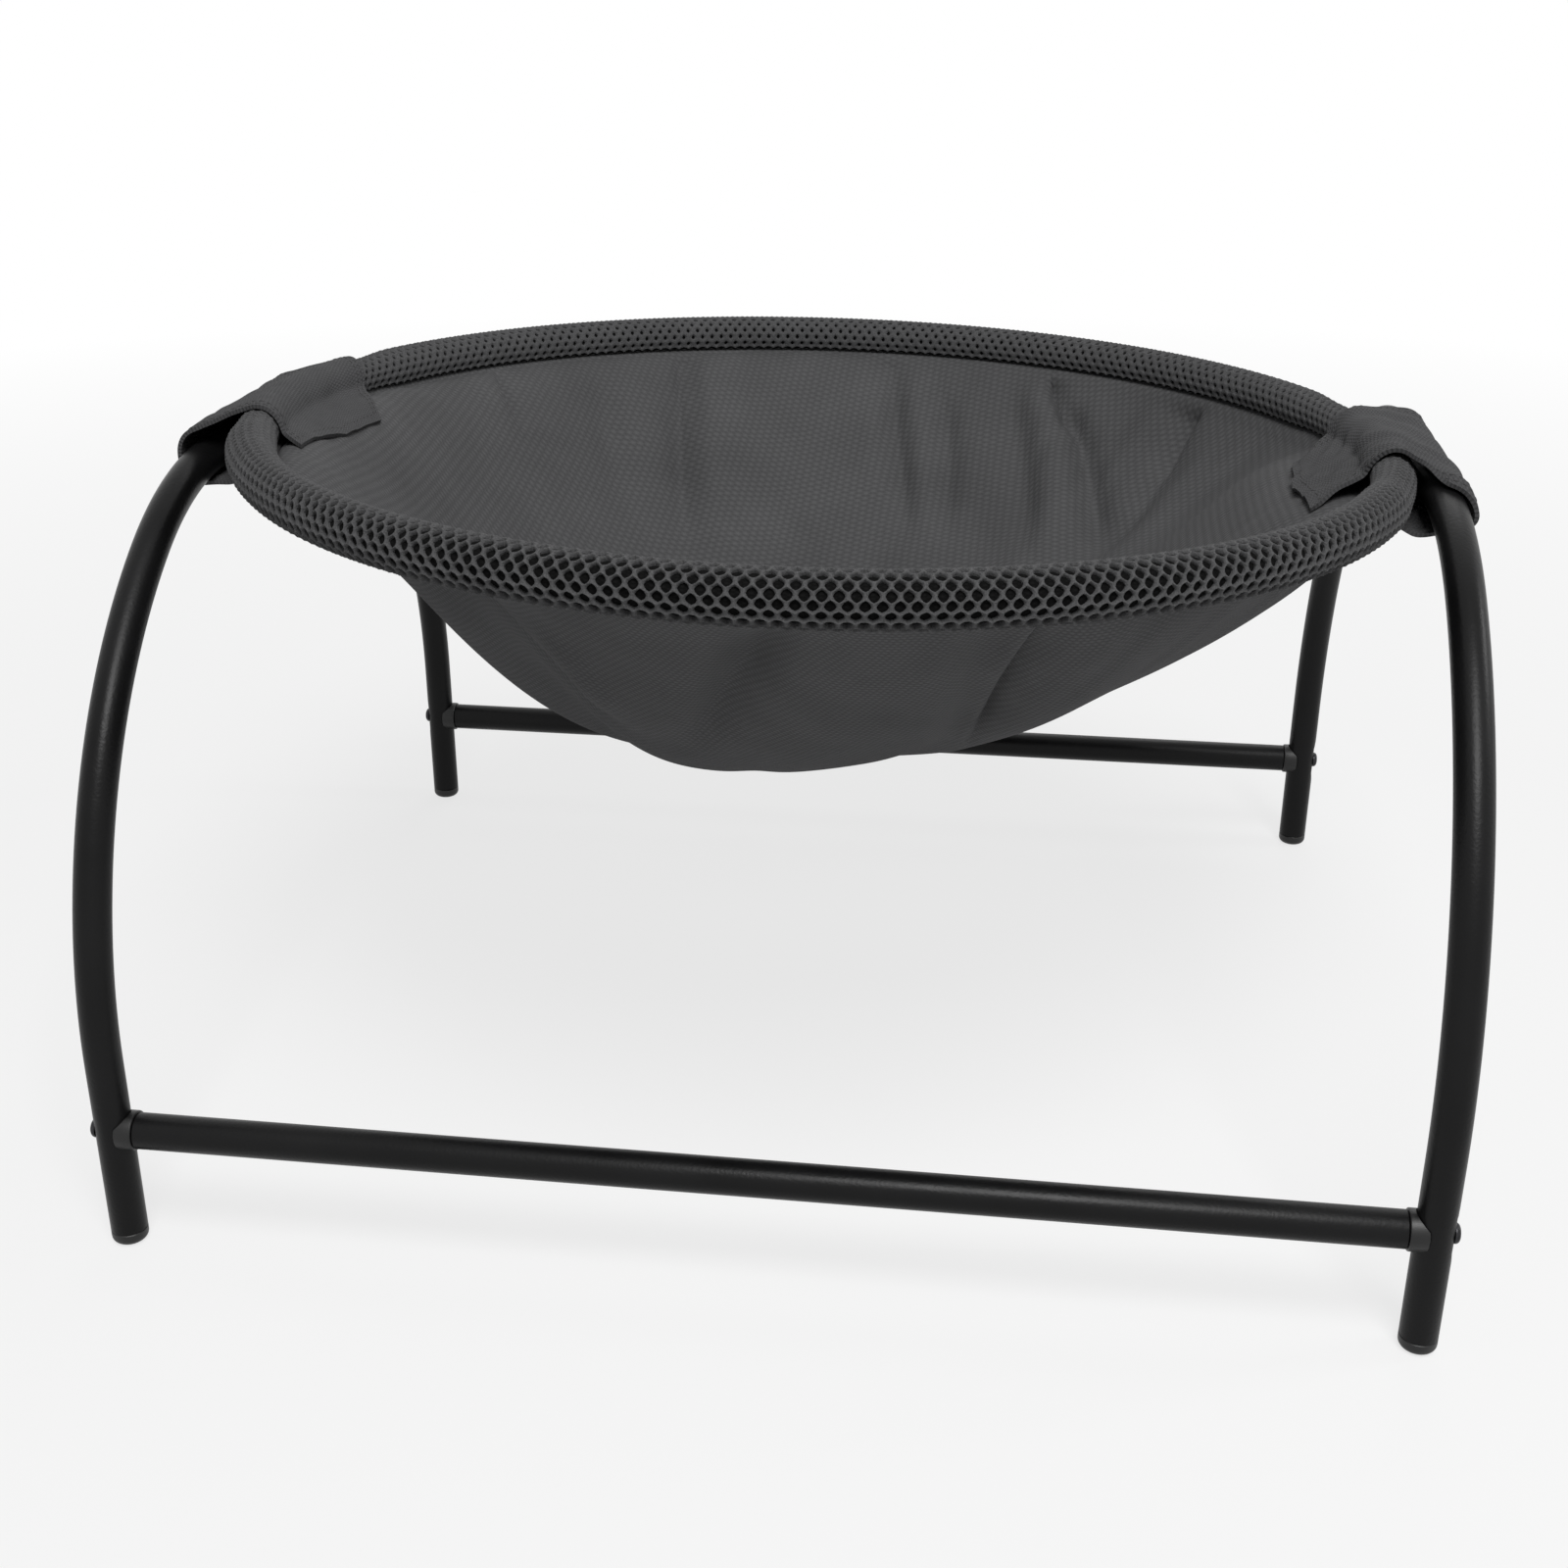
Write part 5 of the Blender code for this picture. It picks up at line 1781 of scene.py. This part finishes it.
@dataclass(frozen=True)
class Bowl:
    """The hanging bowl of fine mesh, with its folds and the small gathers under the rim.

    Each gather is a wave (waves round the rim, phase, height). The creased stretches, in degrees, are where
    the points of a ring crowd together.
    """

    sling: SlingShape
    cut_diameter: float = 0.50
    steps_round: int = 820
    rings: int = 150
    cloth_share: float = 0.8
    innermost: float = 0.012
    ring_crowding: float = 0.9
    hem_rings: int = 5
    gathers: tuple[Triple, ...] = ((47.0, 0.3, 0.00035), (83.0, 1.7, 0.00022))
    gather_start: float = 0.72
    gather_rise: float = 0.2
    gather_end: float = 0.03
    crease_end: float = 0.02
    creased: tuple[Pair, ...] = (
        (29.0, 90.0), (111.0, 121.0), (140.0, 148.0), (228.0, 243.0), (264.0, 276.0), (290.0, 311.0),
    )
    crowding: float = 4.0
    under_scale: float = 1.48
    under_turn: float = math.radians(33.0)
    creases: tuple[Crease, ...] = (
        Crease(((0.90, 39.5), (0.95, 40.8), (0.995, 40.5)), 0.0032, 0.0034, -0.0020),
        Crease(((0.72, 35.0), (0.865, 38.0), (0.97, 41.0)), 0.0105, 0.0056, -0.0016, 2.0),
        Crease(((0.90, 57.5), (0.95, 62.5), (0.995, 64.5)), 0.0036, 0.0040, 0.0020),
        Crease(((0.74, 41.0), (0.835, 50.0), (0.95, 61.0)), 0.0105, 0.0060, 0.0020, 2.0),
        Crease(((0.66, 49.0), (0.83, 62.0), (0.955, 68.5)), 0.0085, 0.0036, 0.0, 2.0),
        Crease(((0.66, 68.5), (0.80, 74.0), (0.92, 78.5)), 0.0080, 0.0044, 0.0014, 2.0),
        Crease(((0.66, 76.5), (0.835, 83.5), (0.985, 87.0)), 0.0072, 0.0052, 0.0014, 2.0),
        Crease(((0.64, 119.0), (0.86, 116.5), (0.985, 115.0)), 0.0076, 0.0056, -0.0016, 2.0),
        Crease(((0.86, 145.0), (0.90, 144.5), (0.99, 143.0)), 0.0036, 0.0042, 0.0016),
        Crease(((0.70, 131.0), (0.92, 129.0)), 0.0090, 0.0030, 0.0, 2.0),
        Crease(((0.62, 243.0), (0.74, 237.0), (0.94, 233.0)), 0.0100, -0.0046, 0.0010, 2.0),
        Crease(((0.66, 249.0), (0.84, 247.0)), 0.0070, 0.0030, 0.0, 2.0),
        Crease(((0.60, 262.0), (0.75, 267.5), (0.92, 272.0)), 0.0095, -0.0062, 0.0020, 2.0),
        Crease(((0.60, 308.0), (0.80, 299.5), (0.985, 296.0)), 0.0034, -0.0032, 0.0046),
        Crease(((0.60, 305.0), (0.80, 296.0), (0.985, 292.5)), 0.0080, -0.0030, 0.0, 2.0),
    )

    def turns(self) -> np.ndarray:
        """Directions round the rim, closer together where the creases run.

        Returns:
            The directions in radians.
        """
        spots, fade = np.linspace(0.0, 360.0, 3601), 2.0
        density = np.ones_like(spots)
        for start, end in self.creased:
            density += self.crowding * smoothstep((spots - start) / fade) * smoothstep((end - spots) / fade)
        reach = summed((density[1:] + density[:-1]) / 2)
        even = np.arange(self.steps_round) * reach[-1] / self.steps_round
        return np.radians(np.interp(even, reach, spots))

    def surface(self) -> tuple[np.ndarray, np.ndarray]:
        """Middle surface of the bowl from its hem in the rim's slit to its low point.

        Returns:
            Points and cloth coordinates, by ring and by direction.
        """
        sling = self.sling
        turn = self.turns()
        hem = sling.hoop_radius + 2 * SEAT_GAP + sling.bowl_thickness / 2
        seam = np.full_like(turn, sling.seam_angle)
        reaches = np.linspace(hem, sling.cover_radius + sling.bowl_thickness, self.hem_rings)[:-1]
        rows = [sling.rim_points(turn, np.full_like(turn, reach), seam) for reach in reaches]
        shares = np.linspace(1.0, self.innermost, self.rings) ** self.ring_crowding
        for share in shares:
            points = sling.bowl(np.full_like(turn, share), turn)
            near_rim = smoothstep((share - self.gather_start) / self.gather_rise)
            near_rim = near_rim * smoothstep((1.0 - share) / self.gather_end)
            ripple = sum(height * np.sin(waves * turn + phase) for waves, phase, height in self.gathers)
            points[:, 2] += ripple * near_rim
            rows.append(points)
        grid = np.array(rows)
        up = grid_normals(grid, wrap_columns=True)
        up *= np.sign(up[-1, :, 2].mean())
        for row, share in enumerate(shares, len(reaches)):
            off = sum(crease.height(share, turn, sling.rim_radius) for crease in self.creases)
            grid[row] += up[row] * (off * smoothstep((1.0 - share) / self.crease_end))[:, None]
        steps = np.linalg.norm(np.diff(grid, axis=0), axis=2)
        inner = shares[-1] * sling.rim_radius
        radius = inner + np.concatenate([np.cumsum(steps[::-1], 0)[::-1], np.zeros((1, len(turn)))])
        radius = radius * 0.5 + radius.mean(1, keepdims=True) * 0.5
        cloth = np.stack([radius * np.cos(turn), radius * np.sin(turn)], -1)
        return sling.to_model(grid), cloth

    def build(self) -> None:
        """Make the bowl."""
        grid, cloth = self.surface()
        made = piece("bowl_cloth", self.closed(grid, cloth), BOWL_CLOTH, ["sling_bowl"])

    def closed(self, grid: np.ndarray, cloth: np.ndarray) -> Shape:
        """Give the bowl both its faces and close it at its low point.

        Args:
            grid: the bowl's middle surface by ring and by direction.
            cloth: cloth coordinates by ring and by direction.

        Returns:
            The closed sheet.
        """
        cosine, sine = math.cos(self.under_turn), math.sin(self.under_turn)
        slanted = cloth @ (self.under_scale * np.array([[cosine, -sine], [sine, cosine]]))
        thickness = self.sling.bowl_thickness * self.cloth_share
        sheet = shell(grid, thickness, cloth, wrap_columns=True, under=slanted)
        rows, columns = grid.shape[:2]
        last, middle = (rows - 1) * columns, rows * columns
        bridge = middle + columns
        kept = [face for face in sheet.faces if not last <= face[0] < middle <= face[2] < bridge]
        upper, lower = sheet.points[last:middle].mean(0), sheet.points[middle:middle + columns].mean(0)
        centre = 2 * rows * columns
        for k in range(columns):
            beside = (k + 1) % columns
            kept.append([last + k, last + beside, centre])
            kept.append([middle + beside, middle + k, centre + 1])
        points = np.concatenate([sheet.points, [upper, lower]])
        return Shape(points, kept, np.concatenate([sheet.cloth, np.zeros((2, 2))]))


# The studio: camera, lamps and floor.


@dataclass(frozen=True)
class Lamp:
    """A soft square lamp that points at the bed."""

    name: str
    place: Triple
    size: float
    power: float

    def build(self, aim: Vector) -> None:
        """Hang the lamp.

        Args:
            aim: where it points.
        """
        data = bpy.data.lights.new(self.name, "AREA")
        data.shape = "SQUARE"
        data.size = self.size
        data.energy = self.power
        lamp = in_scene(self.name, data)
        lamp.location = self.place
        lamp.rotation_euler = (aim - Vector(self.place)).to_track_quat("-Z", "Y").to_euler()


@dataclass(frozen=True)
class Studio:
    """Camera, soft lamps, pale surroundings and the floor.

    The floor is a plain grey under the bed and runs out to white between the two distances of fade_reach.
    """

    eye: Triple = (0.077644, -0.684124, 0.404501)
    yaw: float = 0.129
    pitch: float = 0.411
    roll: float = 0.002
    sensor: float = 36.0
    lens: float = 2007.224 / 1600 * sensor
    sight: Pair = (0.01, 60.0)
    surroundings: float = 0.26
    floor_half: float = 12.0
    floor_grey: float = 0.68
    floor_rough: float = 0.9
    floor_grain: float = 180.0
    floor_relief: float = 0.00005
    fade_from: float = 0.74
    fade_reach: Pair = (0.45, 1.6)
    lamps: tuple[Lamp, ...] = (
        Lamp("key_lamp", (0.30, -1.1, 1.75), size=0.8, power=32.0),
        Lamp("right_lamp", (1.7, 0.3, 1.1), size=0.4, power=5.0),
        Lamp("back_lamp", (0.3, 1.9, 1.5), size=1.2, power=6.0),
    )

    def camera(self) -> None:
        """Set up the camera at the photograph's viewing angle."""
        out, down = math.cos(self.pitch), -math.sin(self.pitch)
        ahead = Vector((-math.sin(self.yaw) * out, math.cos(self.yaw) * out, down))
        level = Vector((math.cos(self.yaw), math.sin(self.yaw), 0.0))
        up = level.cross(ahead)
        right = math.cos(self.roll) * level + math.sin(self.roll) * up
        up = right.cross(ahead)
        data = bpy.data.cameras.new("photo_camera")
        data.lens = self.lens
        data.sensor_width = self.sensor
        data.clip_start, data.clip_end = self.sight
        camera = in_scene("photo_camera", data)
        turn = Matrix((right, up, -ahead)).transposed()
        camera.matrix_world = Matrix.Translation(self.eye) @ turn.to_4x4()
        bpy.context.scene.camera = camera

    @staticmethod
    def seen(bench: NodeBench) -> Socket:
        """Pick out the rays that show the surroundings, from the camera, off gloss and through clear things.

        Args:
            bench: the bench that the nodes are laid on.

        Returns:
            A value that is 1 for those rays.
        """
        path = bench.add("ShaderNodeLightPath").outputs
        either = bench.maths("MAXIMUM", path["Is Camera Ray"], path["Is Glossy Ray"])
        return bench.maths("MAXIMUM", either, path["Is Transmission Ray"])

    def world(self) -> None:
        """Pale surroundings, white where they are seen and softer where they light the bed."""
        world = bpy.data.worlds.new("pale_surroundings")
        world.use_nodes = True
        bench = NodeBench(world.node_tree)
        strength = bench.spread(self.seen(bench), self.surroundings, 1.0)
        back = bench.tree.nodes["Background"]
        back.inputs["Color"].default_value = (1.0, 1.0, 1.0, 1.0)
        bench.tree.links.new(strength, back.inputs["Strength"])
        bpy.context.scene.world = world

    def floor(self) -> None:
        """Lay a pale floor that keeps the bed's shadow near it and runs out to white."""
        half = self.floor_half
        corners = np.array([(-half, -half, 0.0), (half, -half, 0.0), (half, half, 0.0), (-half, half, 0.0)])
        mesh = Shape(corners, [[0, 1, 2, 3]]).mesh("floor")
        material = blank_material("pale_floor")
        bench = NodeBench(material.node_tree)
        bench.shader.inputs["Base Color"].default_value = (*[self.floor_grey] * 3, 1.0)
        bench.hold(Roughness=self.floor_rough, Specular_IOR_Level=0.1)
        place = bench.place()
        bench.relief(bench.noise(place, self.floor_grain, 3.0), self.floor_relief)
        away = bench.add("ShaderNodeVectorMath", {0: place}, operation="LENGTH").outputs["Value"]
        share = bench.spread(away, self.fade_from, 1.0, *self.fade_reach)
        glow = bench.add("ShaderNodeEmission", {"Color": (1.0, 1.0, 1.0, 1.0), "Strength": 1.0})
        white = bench.maths("MULTIPLY", share, self.seen(bench))
        parts = {0: white, 1: bench.shader.outputs[0], 2: glow.outputs[0]}
        mixed = bench.add("ShaderNodeMixShader", parts).outputs[0]
        bench.tree.links.new(mixed, bench.tree.nodes["Material Output"].inputs["Surface"])
        mesh.materials.append(material)
        floor = in_scene("floor", mesh)
        floor.location.z = -SEAT_GAP

    def build(self) -> None:
        """Set up the whole studio."""
        self.camera()
        self.world()
        self.floor()
        low, high = CAD_BOX
        for lamp in self.lamps:
            lamp.build((low + high) / 2)
        bpy.context.scene.view_settings.view_transform = "Standard"


def dress_hidden_nodes() -> None:
    """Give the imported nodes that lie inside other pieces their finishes."""
    finishes = {"rim_hoop": HOOP_PLASTIC, "hoop_joiner": HOOP_PLASTIC}
    finishes.update({name: INSERT_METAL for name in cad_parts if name.endswith("_threaded_insert")})
    for name, finish in finishes.items():
        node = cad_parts[name]
        if not node.material_slots:
            node.data.materials.append(finish.material())
        for held in node.material_slots:
            held.material = finish.material()
        LOG.info("%s: %s", name, finish.name)


def main() -> None:
    """Build the studio and every piece of the bed."""
    logging.basicConfig(level=logging.INFO, format="%(name)s %(message)s")
    Studio().build()
    stand, sling = Stand(), SlingShape()
    stand.build()
    sleeves = (
        Sleeve(
            "left", -1, front=0.063, back=0.032, slack=0.0045, sag=0.005,
            front_hem=(-0.060, -0.060, -0.060, -0.060, -0.060, -0.063, -0.069),
            back_hem=(0.032, 0.032, 0.032, 0.032, 0.032, 0.022, -0.004),
            reaches=(0.0160, 0.0255, 0.0275), sling=sling, stand=stand, wrinkles=(0.0003, 0.0002, 0.0002),
        ),
        Sleeve(
            "right", 1, front=0.064, back=0.040, slack=0.0008, sag=0.0045,
            front_hem=(-0.060, -0.061, -0.067, -0.062, -0.043, -0.038, -0.049),
            back_hem=(0.040, 0.041, 0.042, 0.042, 0.029, 0.022, 0.005),
            reaches=(0.0255, 0.0305, 0.0262), sling=sling, stand=stand,
        ),
    )
    RimCover(sling, sleeves).build()
    Bowl(sling).build()
    for sleeve in sleeves:
        sleeve.build()
    dress_hidden_nodes()


if __name__ == "__main__":
    main()
